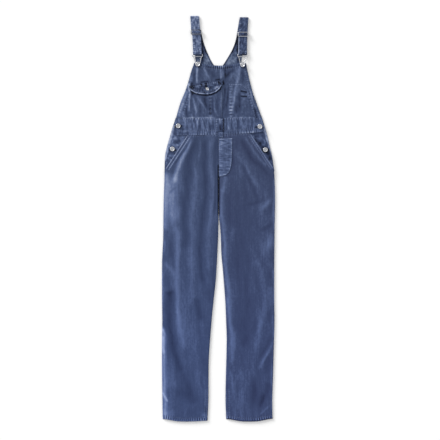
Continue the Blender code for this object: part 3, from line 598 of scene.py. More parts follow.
# The flap's hollows painted dark as shade and its folds pale as highlight and worn nap; beside it, painted
# shadows and a highlight
FLAP_MARKS = creases(
    (4.4, -0.6, -1.9, 0.0, -46, 498, -46, 489), (3.4, -0.3, -1.0, 0.0, -62, 495, -60, 490),
    (4.0, -0.3, -1.5, 0.0, 1, 504, 4, 498), (4.6, 0.3, 1.0, 0.2, -16, 479, -5, 485, 6, 489),
    (4.2, 0.3, 0.8, 0.0, -24, 504, -15, 500), (4.4, -0.4, -1.8, 0.0, -104, 488, -96, 485),
    (5.0, 0.2, 0.5, 0.2, -88, 486, -66, 482), (3.8, 0.1, 0.6, 0.0, -84, 491, -74, 491),
    (3.2, 0.1, 0.5, 0.2, -40, 472, -20, 476),
)
FLAP_SHADOWS = creases(
    (3.0, -0.2, -1.0, 0.2, -68, 503.5, -36, 507), (3.0, -0.2, -1.0, 0.2, -14, 512, 8, 515),
    (3.0, -0.4, -1.3, 0.0, 17, 508, 19, 497), (4.5, -0.4, -0.9, 0.0, -99, 500, -98, 488),
    (3.8, 0.2, 1.5, 0.0, -110, 496, -109, 484, -106, 472),
)
# The deep crease where the legs meet, painted dark as shade, and the seam above it, painted a little darker
# as shade
CENTRE_CREASE = creases(
    (3.3, -0.8, -3.4, 0.06, 0.3, 202, 0.6, 9), (4.0, -0.3, -0.35, 0.15, -4.0, 300, -1.0, 200),
)
# The waistband loop's right edge and foot painted dark as shade, and its top painted pale as highlight
LOOP_MARKS = creases(
    (2.4, 0.0, -1.0, 0.0, 18.2, 368, 18.2, 322), (8.0, -0.2, -0.75, 0.0, 9, 344, 9, 330),
    (7.5, 0.2, 0.55, 0.0, 8, 366, 8, 352),
)
TOP_FOLDS = BIB_FOLDS + WAIST_FOLDS


class FrontForm:
    """The plain form of the front where it lies on the back, before its folds."""

    seam_roll = 9.0        # how fast the front rises from a side seam, and from an inside seam
    inseam_roll = 8.0
    inseam_from = (CROTCH, CROTCH - 40.0)        # heights between which the inside seams begin
    edge_fold = 0.35       # share of a fold's height that is left at a seam
    crease = (0.9, 7.0)    # depth and spread of the dip along the seam at the front middle
    crease_from = (CROTCH - 60.0, CROTCH + 90.0)         # heights between which it begins
    crease_to = (WAIST_SEAM + 4.0, WAIST_SEAM - 20.0)    # and ends
    pile_low = (130.0, 210.0)    # heights between which the front rises over facings and plackets
    pile_top = 331.0             # from where it sinks again, up to the bib
    pile_in = (128.0, 88.0)      # distances from the side between which it rises
    bib_fall = 24.0        # how fast the bib's top falls outside the buttons

    @staticmethod
    def leg_edge(x: Array, y: Array, column: int) -> Array:
        """Distance of a leg's edge from the middle, on the side where x is."""
        right = np.abs(along(LEG_EDGES[Side.RIGHT], y, column))
        return np.where(x < 0, right, np.abs(along(LEG_EDGES[Side.LEFT], y, column)))

    @classmethod
    def bib_top(cls, x: Array) -> Array:
        """Top edge of the bib, dipping between the two buttons."""
        right, left = BIB_BUTTONS[Side.RIGHT][0], BIB_BUTTONS[Side.LEFT][0]
        across = np.abs((x - (right + left) / 2) / ((left - right) / 2))
        dip = BIB_TOP_MIDDLE + (BIB_TOP_PEAK - BIB_TOP_MIDDLE) * across**2
        return np.where(across <= 1.0, dip, BIB_TOP_PEAK - cls.bib_fall * (across - 1.0))

    @classmethod
    def inward(cls, x: Array, y: Array) -> Array:
        """Distance in from the side of the garment."""
        bib = np.minimum(x - along(BIB_SIDES, y, 1), along(BIB_SIDES, y, 2) - x)
        bib = np.minimum(bib, cls.bib_top(x) - y)
        band = np.minimum(x - along(BAND_SIDES, y, 1), along(BAND_SIDES, y, 2) - x)
        leg = cls.leg_edge(x, y, 1) - np.abs(x)
        return np.where(y > WAIST_TOP, bib, np.where(y > along(WAIST_LINE, x, 1), band, leg))

    @classmethod
    def rolled(cls, x: Array, y: Array) -> Array:
        """0 at a seam and 1 well inside it."""
        rolled = 1.0 - np.exp(-np.maximum(cls.inward(x, y), 0.0) / cls.seam_roll)
        inside = np.abs(x) - np.abs(cls.leg_edge(x, y, 2))
        fallen = np.exp(-np.maximum(inside, 0.0) / cls.inseam_roll) * smooth(*cls.inseam_from, y)
        return np.where(y < CROTCH, rolled * (1.0 - fallen), rolled)

    @classmethod
    def base(cls, x: Array, y: Array) -> Pair:
        """Height of the front's top face without folds, and no tone."""
        height = EDGE + (LAID - EDGE) * cls.rolled(x, y)
        pile = (smooth(*cls.pile_low, y) * smooth(WAIST_TOP, cls.pile_top, y)
                * smooth(*cls.pile_in, cls.inward(x, y)))
        height += (HIP - height) * pile
        below_waist = smooth(*cls.crease_from, y) * smooth(*cls.crease_to, y)
        depth, spread = cls.crease
        height -= depth * np.exp(-(x / spread) ** 2) * below_waist
        return height, np.zeros(x.shape)

    @classmethod
    def share(cls, x: Array, y: Array) -> Array:
        """Share of a fold's height that is left so near to a seam."""
        return cls.edge_fold + (1.0 - cls.edge_fold) * cls.rolled(x, y)


def front_surface(folds: tuple[Fold, ...], **details: object) -> Surface:
    """A top face on the front's form, with these folds."""
    return Surface(FrontForm.base, share=FrontForm.share, lowest=EDGE, folds=folds, **details)


def button_shadow_ring(middle: Place, radius: float, shift: float = 1.5) -> Fold:
    """The painted shadow round a button: a dark ring, shifted away from the light."""
    x, y = middle[0] + shift, middle[1] - shift
    angles = np.radians(np.arange(0, 361, 30))
    ring = tuple((x + radius * math.cos(a), y + radius * math.sin(a)) for a in angles)
    return Fold(ring, 2.6, -0.2, -0.7, 0.0)


def button_shadows(name: str) -> tuple[Fold, Fold]:
    """The painted shadow round a side button, and painted shade in the slit of its buttonhole."""
    return button_shadow_ring(SIDE_BUTTONS[name], 8.0), Fold(BUTTONHOLES[name], 3.2, -0.3, -1.6, 0.06)


def hem_line(side: Side, from_outer: Array, from_inner: Array) -> Array:
    """Bottom edge of a leg, lifted at both seams."""
    outer, inner = HEM_LIFT[side]
    return (HEM + outer * (1.0 - smooth(0.0, HEM_ROUND, from_outer)) ** 2
            + inner * (1.0 - smooth(0.0, HEM_ROUND, from_inner)) ** 2)


# --- Flat cuts ---

def lay_grid(across: Array, up: Array, place: Callable) -> Mesh:
    """A flat grid whose points are placed by shares across and up.

    Args:
        across: Shares from 0 to 1 across the piece.
        up: Shares from 0 to 1 up the piece.
        place: Gives x and y for arrays of shares.

    Returns:
        The flat mesh.
    """
    bm = bmesh.new()
    columns, rows = len(across) - 1, len(up) - 1
    bmesh.ops.create_grid(bm, x_segments=columns, y_segments=rows, size=0.5)
    i = [round((vert.co.x + 0.5) * columns) for vert in bm.verts]
    j = [round((vert.co.y + 0.5) * rows) for vert in bm.verts]
    x, y = place(across[i], up[j])
    for vert, px, py in zip(bm.verts, x, y):
        vert.co = (px * MM, py * MM, 0.0)
    return bm


def slice_flat(bm: Mesh, a: Place, b: Place, clear: bool) -> None:
    """Cut along the line from a to b, and remove what lies to its right if clear is set."""
    normal = Vector((b[1] - a[1], a[0] - b[0], 0.0)).normalized()
    bmesh.ops.bisect_plane(bm, geom=bm.verts[:] + bm.edges[:] + bm.faces[:], dist=0.02 * MM,
                           plane_co=Vector((a[0], a[1], 0.0)) * MM, plane_no=normal, clear_outer=clear)


def cut_out(outline: Sequence[Place], pitch: float = 2.0,
            insets: tuple[float, ...] = (0.8, 2.0)) -> Mesh:
    """A fine flat grid cut to a convex outline, with extra edges just inside it.

    Args:
        outline: Corners in order.
        pitch: Size of the grid's cells.
        insets: Distances of the extra edges from the outline.

    Returns:
        The flat mesh.
    """
    turn = sum(a[0] * b[1] - b[0] * a[1] for a, b in zip(outline, (*outline[1:], outline[0])))
    ring = list(outline) if turn > 0 else list(reversed(outline))
    low_x, high_x = min(p[0] for p in ring), max(p[0] for p in ring)
    low_y, high_y = min(p[1] for p in ring), max(p[1] for p in ring)
    across = np.linspace(0.0, 1.0, round((high_x - low_x) / pitch) + 2)
    up = np.linspace(0.0, 1.0, round((high_y - low_y) / pitch) + 2)
    bm = lay_grid(across, up, lambda u, v: (low_x + (high_x - low_x) * u, low_y + (high_y - low_y) * v))
    for a, b in zip(ring, ring[1:] + ring[:1]):
        slice_flat(bm, a, b, True)
    for a, b in zip(ring, ring[1:] + ring[:1]):
        for distance in insets:
            start, end = inset((a, b), distance)
            slice_flat(bm, start, end, False)
    return bm


def band_cut(sides: Rows, across: Array, up: Array) -> Mesh:
    """A waistband's flat cut, from the waist seam to the waistband's top, with sides from a table."""
    right, left = next((row[1], row[2]) for row in sides if row[0] == WAIST_SEAM)

    def place(u: Array, v: Array) -> Pair:
        """Places by shares across and up."""
        low = along(WAIST_LINE, right * (1 - u) + left * u, 1) + GAP
        return between(sides, u, low + (WAIST_TOP - low) * v)

    return lay_grid(across, up, place)


# --- Pieces ---

def finish_mesh(name: str, bm: Mesh, materials: Sequence[Material], sharp: float = 50.0) -> bpy.types.Object:
    """Link a finished bmesh as one object.

    Args:
        name: The object's name.
        bm: Its mesh, which is freed.
        materials: Its finishes.
        sharp: Angle in degrees from which an edge stays sharp.

    Returns:
        The object.
    """
    mesh = bpy.data.meshes.new(name)
    bm.to_mesh(mesh)
    bm.free()
    for material in materials:
        mesh.materials.append(material)
    mesh.shade_smooth()
    mesh.set_sharp_from_angle(angle=math.radians(sharp))
    made = bpy.data.objects.new(name, mesh)
    bpy.context.collection.objects.link(made)
    return made


def give_weave(piece: bpy.types.Object, lean: float = 0.0) -> None:
    """Give a laid piece a UV map in metres: across the wales, and along them.

    Args:
        piece: The piece.
        lean: How far the wales lean, as x per y.
    """
    mesh = piece.data
    places = np.empty(len(mesh.vertices) * 3)
    mesh.vertices.foreach_get("co", places)
    places = places.reshape(-1, 3)
    corners = np.empty(len(mesh.loops), np.int32)
    mesh.loops.foreach_get("vertex_index", corners)
    across = places[:, 0] - lean * places[:, 1]
    uv = np.stack([across, places[:, 1] + places[:, 2]], axis=1)[corners]
    mesh.uv_layers.new(name="weave").uv.foreach_set("vector", uv.ravel())


@dataclass
class ClothPiece:
    """One cut and sewn piece of cloth."""

    name: str
    material: Material
    thickness: float = CLOTH
    slot: Slot = Slot.CORDUROY
    held: Hold = Hold.LAID
    rests_on: tuple[str, ...] = ()
    ease: tuple[float, float] = (1.0, 1.0)
    lean: float = 0.0              # of the wales, as x per y
    floor: float = -10.0           # lowest place of its underside
    joined: tuple[tuple[Place, ...], ...] = ()
    under_material: Material | None = None
    # As shares of the thickness: how far the top and the underside round over at the edge, and what
    # is left between them
    roll: float = 0.42
    under_roll: float = 0.18
    thinnest: float = 0.3
    joint_reach: float = 2.5       # within which an edge stays flush with the piece it is sewn to

    def make(self, flat: Mesh, top: Surface, under: Surface | None = None) -> bpy.types.Object:
        """Args:
            flat: The flat mesh, which is used up.
            top: The piece's top face.
            under: Its underside where it has a form of its own.

        Returns:
            The finished piece, which stands for its node.
        """
        places = np.array([vert.co[:2] for vert in flat.verts]) / MM
        x, y = places[:, 0], places[:, 1]
        size = np.ptp(x) * self.ease[0] * MM, np.ptp(y) * self.ease[1] * MM
        area = sum(face.calc_area() for face in flat.faces) * self.ease[0] * self.ease[1]
        edge = np.exp(-self.edge_distance(flat) ** 2)
        for run in self.joined:
            edge *= 1.0 - np.exp(-(from_run(run, x, y)[0] / self.joint_reach) ** 2)
        height, tone = top.at(x, y)
        lower = height - self.thickness if under is None else under.at(x, y)[0]
        lower = np.maximum(lower + self.under_roll * self.thickness * edge, self.floor)
        height = np.maximum(height - self.roll * self.thickness * edge,
                            lower + self.thinnest * self.thickness)
        self.wall(flat, height, lower, tone)
        piece = finish_mesh(f"{self.name}_cloth", flat, [self.material])
        if self.under_material is not None:
            piece.data.materials.append(self.under_material)
            for face in piece.data.polygons:
                face.material_index = int(face.normal.z < -0.2)
        give_weave(piece, self.lean)
        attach(piece, "root")
        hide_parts(self.name)
        rests_on = list(self.rests_on) or ["floor"]
        LOG.info("%s: %d faces, cut %.0f x %.0f mm, %.4f m2", self.name, len(piece.data.polygons),
                 size[0] / MM, size[1] / MM, area)
        return piece

    @staticmethod
    def edge_distance(flat: Mesh) -> Array:
        """Distance of each point from the cut's edge, in millimetres."""
        rim = [vert for vert in flat.verts if vert.is_boundary]
        tree = KDTree(len(rim))
        for i, vert in enumerate(rim):
            tree.insert(vert.co, i)
        tree.balance()
        return np.array([tree.find(vert.co)[2] for vert in flat.verts]) / MM

    @staticmethod
    def wall(flat: Mesh, height: Array, lower: Array, tone: Array) -> None:
        """Raise a flat cut to its heights and give it an underside.

        Args:
            flat: The flat mesh.
            height: Height of each point.
            lower: Height of the underside below each point.
            tone: Tone of each point.
        """
        low_layer = flat.verts.layers.float.new("lower")
        tone_layer = flat.verts.layers.float.new("tone")
        tone = np.clip(tone, -1.0, 1.0)
        for vert, z, low, value in zip(flat.verts, height, lower, tone):
            vert.co.z = z * MM
            vert[low_layer] = low * MM
            vert[tone_layer] = value
        made = bmesh.ops.extrude_face_region(flat, geom=flat.faces[:])["geom"]
        for item in made:
            if isinstance(item, bmesh.types.BMVert):
                item.co.z = item[low_layer]
        bmesh.ops.recalc_face_normals(flat, faces=flat.faces[:])
        flat.verts.layers.float.remove(low_layer)


def sew(name: str, material: Material, carrier: "Surface | Strap", length: float = 2.8,
        gap: float = 0.9) -> bpy.types.Object | None:
    """Lay one rounded stitch after another along a piece's seams, as one mesh.

    Args:
        name: The object's name.
        material: The thread.
        carrier: What the stitches lie on, with its seams.
        length: Length of a stitch.
        gap: Cloth between two stitches.

    Returns:
        The stitching, or None if no line is sewn.
    """
    bm = bmesh.new()
    half = Vector((length / 2, *THREAD_HALF)) * MM
    for seam in carrier.seams:
        if not seam.sewn:
            continue
        for start, end in stitches_along(seam.points, length, gap):
            a, b = carrier.point(*start), carrier.point(*end)
            forward = (b - a).normalized()
            up = carrier.up(*start)
            across = up.cross(forward).normalized()
            up = forward.cross(across)
            turn = Matrix((forward, across, up)).transposed().to_4x4()
            middle = (a + b) / 2 + up * THREAD_PROUD
            matrix = Matrix.Translation(middle * MM) @ turn @ Matrix.Diagonal((*half, 1.0))
            bmesh.ops.create_icosphere(bm, subdivisions=1, radius=1.0, matrix=matrix)
    if not bm.verts:
        bm.free()
        return None
    made = finish_mesh(name, bm, [material], 180.0)
    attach(made, "root")
    return made


def stitches_along(points: Sequence[Place], length: float, gap: float) -> list[tuple[Place, Place]]:
    """Start and end of each stitch along a run."""
    corners = np.array(points, float)
    steps = np.hypot(*np.diff(corners, axis=0).T)
    run = np.concatenate(([0.0], np.cumsum(steps)))
    starts = np.arange(gap, run[-1] - length, length + gap)
    places = []
    for start in starts:
        ends = [(float(np.interp(s, run, corners[:, 0])), float(np.interp(s, run, corners[:, 1])))
                for s in (start, start + length)]
        places.append((ends[0], ends[1]))
    return places


# --- Front ---

@dataclass
class Bib:
    """The bib with its pockets, flap and slits."""

    finishes: "Finishes"
    top_row: float = 14.0     # from the top edge to its stitches
    side_row: float = 9.0     # from a side edge to its stitches
    turned: float = 6.5       # from the top's stitches up to where the turned cloth puckers
    # The pockets thin out where the waistband catches them
    caught: Fold = Fold(((-150.0, WAIST_TOP), (150.0, WAIST_TOP)), 5.0, -1.0, 0.0, 0.0)

    def __post_init__(self) -> None:
        """Set out the bib's own seams."""
        top = tuple((float(x), float(FrontForm.bib_top(np.array([x]))[0]) - self.top_row)
                    for x in range(-84, 98, 9))
        heights = np.linspace(WAIST_TOP + 4.0, 552.0, 12)
        right, left = (tuple((read(BIB_SIDES, h, column) + into, float(h)) for h in heights)
                       for column, into in ((1, self.side_row), (2, -self.side_row)))
        hem = tuple((x, y + self.turned) for x, y in top)
        # Painted shadows round the bib's buttons and beside the flap; the top hem's puckers are painted light
        # and shade
        self.surface = front_surface(
            TOP_FOLDS, lines=(*(button_shadow_ring(BIB_BUTTONS[side], 9.0) for side in Side), *FLAP_SHADOWS),
            seams=(Seam(top, 0.4, 8.3, 5.0, 0.1, 0.4, 0.35),
                   Seam(hem, 0.6, 7.4, 6.0, -0.25, 0.0, 1.15, sewn=False),
                   Seam(right, 0.2, 9.0, 5.0, 0.12, 0.3, 0.14), Seam(left, 0.25, 9.0, 5.0, 0.2, 0.3, 0.2)),
            crumples=(Crumple(9.0, 34.0, 0.35, 0.14, 3), Crumple(4.0, 7.0, 0.12, 0.12, 4)))

    def flat(self) -> Mesh:
        """The bib's cut."""
        low = WAIST_TOP + GAP
        right, left = BIB_SIDES[-1][1:]

        def place(u: Array, v: Array) -> Pair:
            """Places by shares across and up."""
            top = FrontForm.bib_top(right * (1 - u) + left * u)
            return between(BIB_SIDES, u, low + (top - low) * v)

        return lay_grid(crowded(260.0, 2.0), crowded(200.0, 2.2), place)

    def build(self) -> None:
        """Make the bib and what is sewn on it."""
        ClothPiece("front_bib", self.finishes.body, rests_on=("back_bib_right", "back_bib_left"),
                   floor=CLOTH + TOUCH, joined=(BAND_TOP_RUN,)).make(self.flat(), self.surface)
        sew("stitching_bib", self.finishes.thread, self.surface)
        self.build_chest_pocket()
        self.build_pen_pocket()
        self.build_flap()

    def on_bib(self, layers: int, thick: float = TRIM, **details: object) -> Surface:
        """The surface of a piece of this thickness that lies on the bib over this many trim layers."""
        below = front_surface(TOP_FOLDS, crumples=self.surface.crumples)
        return Surface(below.at, lift=GAP + thick + layers * (TRIM + GAP), **details)

    def lay_pocket(self, name: str, outline: Sequence[Place], surface: Surface) -> None:
        """Make one of the bib's pockets and sew it on."""
        ClothPiece(name, self.finishes.body, TRIM, rests_on=("front_bib",), joined=(BAND_TOP_RUN,)).make(
            cut_out(outline), surface, self.on_bib(0, thick=0.0))
        sew(f"stitching_{name}", self.finishes.thread, surface)

    def build_chest_pocket(self) -> None:
        """The chest pocket, with a stitched pen division."""
        side = tuple(inset(((-104, 486), (-136, 374)), 3.0))
        # Painted shadow of the flap on the pocket, just below its edge
        flap_cast_shadow = Fold(tuple(inset(FLAP_CURVE, -1.6)), 2.6, -0.3, -1.2, 0.06)
        self.lay_pocket("chest_pocket", CHEST_POCKET, self.on_bib(
            0, lines=(flap_cast_shadow, *FLAP_SHADOWS, self.caught),
            seams=(Seam(side, 0.2, 9.0, 4.0, 0.15),
                   Seam(((10, 500), (10, 376)), 0.2, 9.0, 4.0, -0.1, 0.3, 0.1),
                   Seam(((-30, 462), (-30, 376)), 0.7, 15.0, 5.5, -0.1, 0.5, 0.8))))

    def build_pen_pocket(self) -> None:
        """The pen pocket: puckered double seam, hemmed top and two stitched slits."""
        side = tuple(inset(((141, 374), (112, 470)), 5.0))
        # The slits are painted dark, as shade inside them
        slit_shades = tuple(Fold(slit, 2.2, -0.6, -2.5, 0.06) for slit in PEN_SLITS)
        lips = tuple(Fold(((a[0], a[1] + 5), (b[0], b[1] + 5)), 2.0, 0.3, 0.4) for a, b in PEN_SLITS)
        self.lay_pocket("pen_pocket", PEN_POCKET, self.on_bib(
            0, lines=(*slit_shades, *lips, self.caught), crumples=(Crumple(6.0, 9.0, 0.15, 0.14, 7),),
            seams=(*(Seam(((x, 494), (x, 376)), 0.2, 12.0, 3.0, 0.1, 0.3, 0.0) for x in (41.5, 50)),
                   Seam(((45.5, 496), (45.5, 376)), 0.8, 11.0, 6.0, 0.05, 0.0, 0.6, sewn=False),
                   Seam(((41, 495.2), (82, 495.2)), 0.35, 8.0, 3.5, 0.6, 0.3, 0.3),
                   Seam(((82, 495.2), (103, 480)), 0.35, 7.0, 4.0, 0.1, 0.3, 0.5),
                   Seam(side, 0.25, 9.0, 4.0, 0.3))))

    def build_flap(self) -> None:
        """The curved chest flap, its edge painted pale for wear and highlight."""
        worn_and_lit = Fold((*inset(FLAP_CURVE[:4], 1.8), *inset(FLAP_CURVE[4:], 3.4)), 2.0, 0.5, 1.3, 0.04)
        # Its outermost edge is painted dark, as shade
        rim = Fold(tuple(inset(FLAP_CURVE[4:], 0.2)), 1.8, 0.0, -0.9, 0.04)
        surface = self.on_bib(
            1, tone=-0.24, lines=(worn_and_lit, rim, *FLAP_MARKS),
            seams=(Seam(tuple(inset(FLAP_CURVE, 7.0)), 0.35, 7.0, 2.6, -0.3, 0.35, 0.25),
                   Seam(tuple(inset(FLAP_CURVE[1:], 11.0)), 0.4, 8.0, 4.0, 0.1, 0.35, 0.4),
                   Seam(((-98, 488), (-60, 493), (-20, 501), (11, 507)), 0.5, 7.5, 4.0, 0.25, 0.3, 0.6)),
            crumples=(Crumple(6.0, 6.0, 0.35, 0.6, 11), Crumple(3.0, 3.5, 0.1, 0.3, 12)))
        ClothPiece("chest_flap", self.finishes.body, TRIM, rests_on=("chest_pocket",)).make(
            cut_out(FLAP, 1.6), surface)
        sew("stitching_flap", self.finishes.thread, surface)


@dataclass
class Waistband:
    """The gathered front waistband with its loop and tab."""

    finishes: "Finishes"
    lower_row: float = 3.2     # from the waist seam up to the first row of stitches
    next_row: float = 12.0     # and on to the second row
    upper_row: float = 3.0     # from the top down to its row
    cover: float = 0.8         # how far it rises over the pockets' lower edges

    def __post_init__(self) -> None:
        """Set out the waistband's seams."""
        xs = np.arange(-158.0, 164.0, 8.0)
        lower = tuple((float(x), read(WAIST_LINE, x, 1) + self.lower_row) for x in xs)
        row = tuple((x, y + self.next_row) for x, y in lower[1:-1])
        upper = tuple((float(x), WAIST_TOP - self.upper_row) for x in xs[1:-1])
        # Painted shadows round the upper side buttons, and painted shade in their buttonholes
        self.surface = Surface(
            self.over_pockets, share=FrontForm.share, lowest=EDGE, folds=TOP_FOLDS, tone=0.08, fold_tone=0.62,
            lines=tuple(line for side in Side for line in button_shadows(f"upper_{side.value}")),
            seams=(Seam(upper, 0.45, 9.0, 5.0, 0.2, 0.35, 0.45), Seam(lower, 0.45, 9.5, 6.0, 0.05, 0.35, 0.4),
                   Seam(row, 0.35, 7.5, 6.0, -0.05, 0.3, 0.4)),
            crumples=(Crumple(6.0, 26.0, 0.45, 0.34, 21), Crumple(4.0, 6.0, 0.1, 0.16, 22)))

    def over_pockets(self, x: Array, y: Array) -> Pair:
        """The front's form, raised a little along the top where it covers the pockets' lower edges."""
        height, tone = FrontForm.base(x, y)
        over = smooth(-136.0, -132.0, x) * smooth(146.0, 138.0, x) * smooth(352.0, 371.0, y)
        return height + self.cover * over, tone

    def build(self) -> None:
        """Make the waistband, its loop and its tab."""
        ClothPiece("front_waistband", self.finishes.body, held=Hold.GATHERED, rests_on=("back_waistband",),
                   ease=(1.06, 1.0), floor=CLOTH + TOUCH, joined=(BAND_TOP_RUN, WAIST_LINE)).make(
            band_cut(BAND_SIDES, crowded(330.0, 1.7), crowded(60.0, 2.0)), self.surface)
        sew("stitching_waistband", self.finishes.thread, self.surface)
        loop = Surface(self.surface.at, lift=GAP + TRIM, folds=LOOP_MARKS, sway=0.0, seams=(
            Seam(((-7.5, 366), (-7.5, 324)), 0.2, 9.0, 3.0, 0.3),
            Seam(((17, 366), (17, 324)), 0.2, 9.0, 3.0, 0.1),
            Seam(((-8, 366), (18, 366)), 0.2, 7.0, 3.0, 0.35)))
        self.lay("loop", BAND_LOOP, 1.8, loop)
        xs, ys = np.meshgrid(np.linspace(0, 15, 7), np.linspace(300, 319.4, 7))
        clear = float(np.max(FrontForm.base(xs, ys)[0])) + 1.2 + GAP + TRIM    # over the folds under the tab
        level = Surface(flat_at(clear), tone=0.1, crumples=(Crumple(5.0, 5.0, 0.2, 0.3, 31),), seams=tuple(
            Seam(((2, y), (13, y)), 0.2, 6.0, 2.5, 0.45) for y in (316.8, 302.5)))
        self.lay("tab", BAND_TAB, 1.6, level)

    def lay(self, name: str, outline: Sequence[Place], pitch: float, surface: Surface) -> None:
        """Make the loop or the tab and sew it on."""
        ClothPiece(f"waistband_{name}", self.finishes.body, TRIM, rests_on=("front_waistband",)).make(
            cut_out(outline, pitch), surface)
        sew(f"stitching_{name}", self.finishes.thread, surface)


@dataclass
class FrontLeg:
    """One front leg with its slant pocket, facing and hem."""

    side: Side
    finishes: "Finishes"
    top_row: float = 3.0             # from the waist seam to its stitches
    turned: tuple[float, float] = (7.0, 10.5)    # from the hem's stitches down to its puckers
    inseam_rows: tuple[float, float] = (5.0, 12.0)

    # How pale the slant edge is painted, for wear and highlight, distance and tone of its two rows
    # of stitches, where the row along the waist begins, and tones of the hem's puckers and of the facing
    edge_worn_and_lit = {Side.RIGHT: 1.4, Side.LEFT: 0.8}
    slant_rows = {Side.RIGHT: ((3.4, -0.2), (11.0, 1.2)), Side.LEFT: ((3.6, 0.5), (10.0, 0.5))}
    row_start = {Side.RIGHT: -4.0, Side.LEFT: 17.0}
    hem_tone = {Side.RIGHT: 0.3, Side.LEFT: -0.9}
    facing_tone = {Side.RIGHT: 0.12, Side.LEFT: -0.08}
    # Shadow of the slant edge on the facing
    shadow = {Side.RIGHT: Fold(tuple(inset(SLANT[Side.RIGHT], 4.0)), 4.5, 0.0, -0.4, 0.0),
              Side.LEFT: Fold(((131, 305), (150, 276), (174, 244), (194, 214)), 7.0, 0.0, -0.8, 0.1)}

    def __post_init__(self) -> None:
        """Set out the leg's seams."""
        right = self.side is Side.RIGHT
        self.cloth = self.finishes.right_leg if right else self.finishes.left_leg
        self.edges = LEG_EDGES[self.side]
        # The slant's pale edge and the deep crease between the legs are straight, as they show
        # The edge is painted pale, for wear and highlight; the crease is painted dark, as shade
        self.surface = front_surface(
            RIGHT_LEG_FOLDS if right else LEFT_LEG_FOLDS, fold_rise=1.4, fold_tone=0.85, seams=self.seams(),
            lines=(Fold(SLANT[self.side], 2.0, 0.2, self.edge_worn_and_lit[self.side], 0.0), *CENTRE_CREASE),
            crumples=(Crumple(13.0, 80.0, 0.35, 0.08, 40), Crumple(7.0, 19.0, 0.12, 0.05, 41)))

    def seams(self) -> tuple[Seam, ...]:
        """The slant pocket's double stitching, the hem and the seam at the leg's inside."""
        outer, inner = self.edges[-1][1:]
        slant = SLANT[self.side]
        xs = np.linspace(outer * 0.99, inner + (outer - inner) * 0.01, 16)
        hem = hem_line(self.side, np.abs(outer - xs), np.abs(xs - inner)) + HEM_DEPTH
        rows = [tuple((float(x), float(y) - drop) for x, y in zip(xs, hem)) for drop in (0.0, *self.turned)]
        top = tuple((float(x), read(WAIST_LINE, x, 1) - self.top_row)
                    for x in np.linspace(self.row_start[self.side], slant[0][0], 14))
        lines = [Seam(tuple(inset(slant, -self.side.sign * d)), 0.15, 8.0, 3.0, light, 0.35, 0.1)
                 for d, light in self.slant_rows[self.side]]
        # The hem's puckers are painted lighter where they rise and darker where they sink, as light and shade
        lines += [Seam(rows[0], 0.4, 8.2, 5.0, -0.1, 0.4, 0.3),
                  Seam(rows[1], 0.6, 8.2, 5.5, 0.0, 0.0, 0.8, sewn=False),
                  Seam(rows[2], 0.3, 7.0, 4.0, self.hem_tone[self.side], 0.0, 0.5, sewn=False),
                  Seam(top, 0.35, 9.0, 5.0, 0.15, 0.3, 0.35)]
        for distance in self.inseam_rows:
            run = tuple((read(self.edges, h, 2) + self.side.sign * distance, float(h))
                        for h in np.linspace(HEM + 16.0, HEM + 120.0, 6))
            lines.append(Seam(run, 0.2, 9.0, 3.0, 0.25, 0.25, 0.15))
        return tuple(lines)

    def flat(self, pitch: float = 2.1, rows: float = 3.1) -> Mesh:
        """The leg's cut, with cells of this width and length that are closer together near its ends."""
        outer, inner = (read(self.edges, WAIST_SEAM, column) for column in (1, 2))
        width = abs(self.edges[-1][1] - self.edges[-1][2])

        def place(u: Array, v: Array) -> Pair:
            """Places by shares across and up."""
            u = u if self.side is Side.RIGHT else 1.0 - u
            low = hem_line(self.side, u * width, (1 - u) * width)
            high = along(WAIST_LINE, outer * (1 - u) + inner * u, 1)
            return between(self.edges, u, low + (high - low) * v)

        height = WAIST_SEAM - HEM
        near_hem = np.array([0.0, 0.8, *np.arange(2.0, 26.0, 1.8)])
        above = np.linspace(26.0, height - 2.0, round((height - 28.0) / rows))
        up = np.concatenate((near_hem, above, [height - 0.8, height])) / height
        return lay_grid(crowded(200.0, pitch), up, place)

    def build(self) -> None:
        """Make the leg and its facing."""
        flat = self.flat()
        for distance in (0.0, 0.8, 2.0):
            ends = inset(SLANT[self.side], distance * -self.side.sign)
            start, end = ends if self.side is Side.RIGHT else ends[::-1]
            slice_flat(flat, start, end, distance == 0.0)
        name = self.side.value
        ClothPiece(f"front_leg_{name}", self.cloth, rests_on=(f"back_leg_{name}",),
                   lean=LEG_LEAN * self.side.sign, floor=CLOTH + TOUCH,
                   joined=(WAIST_LINE, CENTRE_SEAM)).make(flat, self.surface)
        sew(f"stitching_leg_{name}", self.finishes.thread, self.surface)
        # A hollow on the facing painted darker, as shade; and painted shadows round its button and in its
        # buttonhole
        hollow = Fold(((-172, 287), (-134, 284)), 6.0, -0.3, -0.6)
        facing = Surface(self.surface.base, lift=-CLOTH - GAP, tone=self.facing_tone[self.side],
                         lines=(*button_shadows(f"lower_{name}"), self.shadow[self.side], hollow),
                         crumples=(Crumple(9.0, 8.0, 0.25, 0.45, 51), Crumple(4.0, 4.0, 0.1, 0.2, 52)))
        ClothPiece(f"pocket_facing_{name}", self.finishes.body, TRIM, rests_on=(f"side_placket_{name}",),
                   floor=2 * CLOTH + GAP - TRIM).make(cut_out(FACING[self.side]), facing)


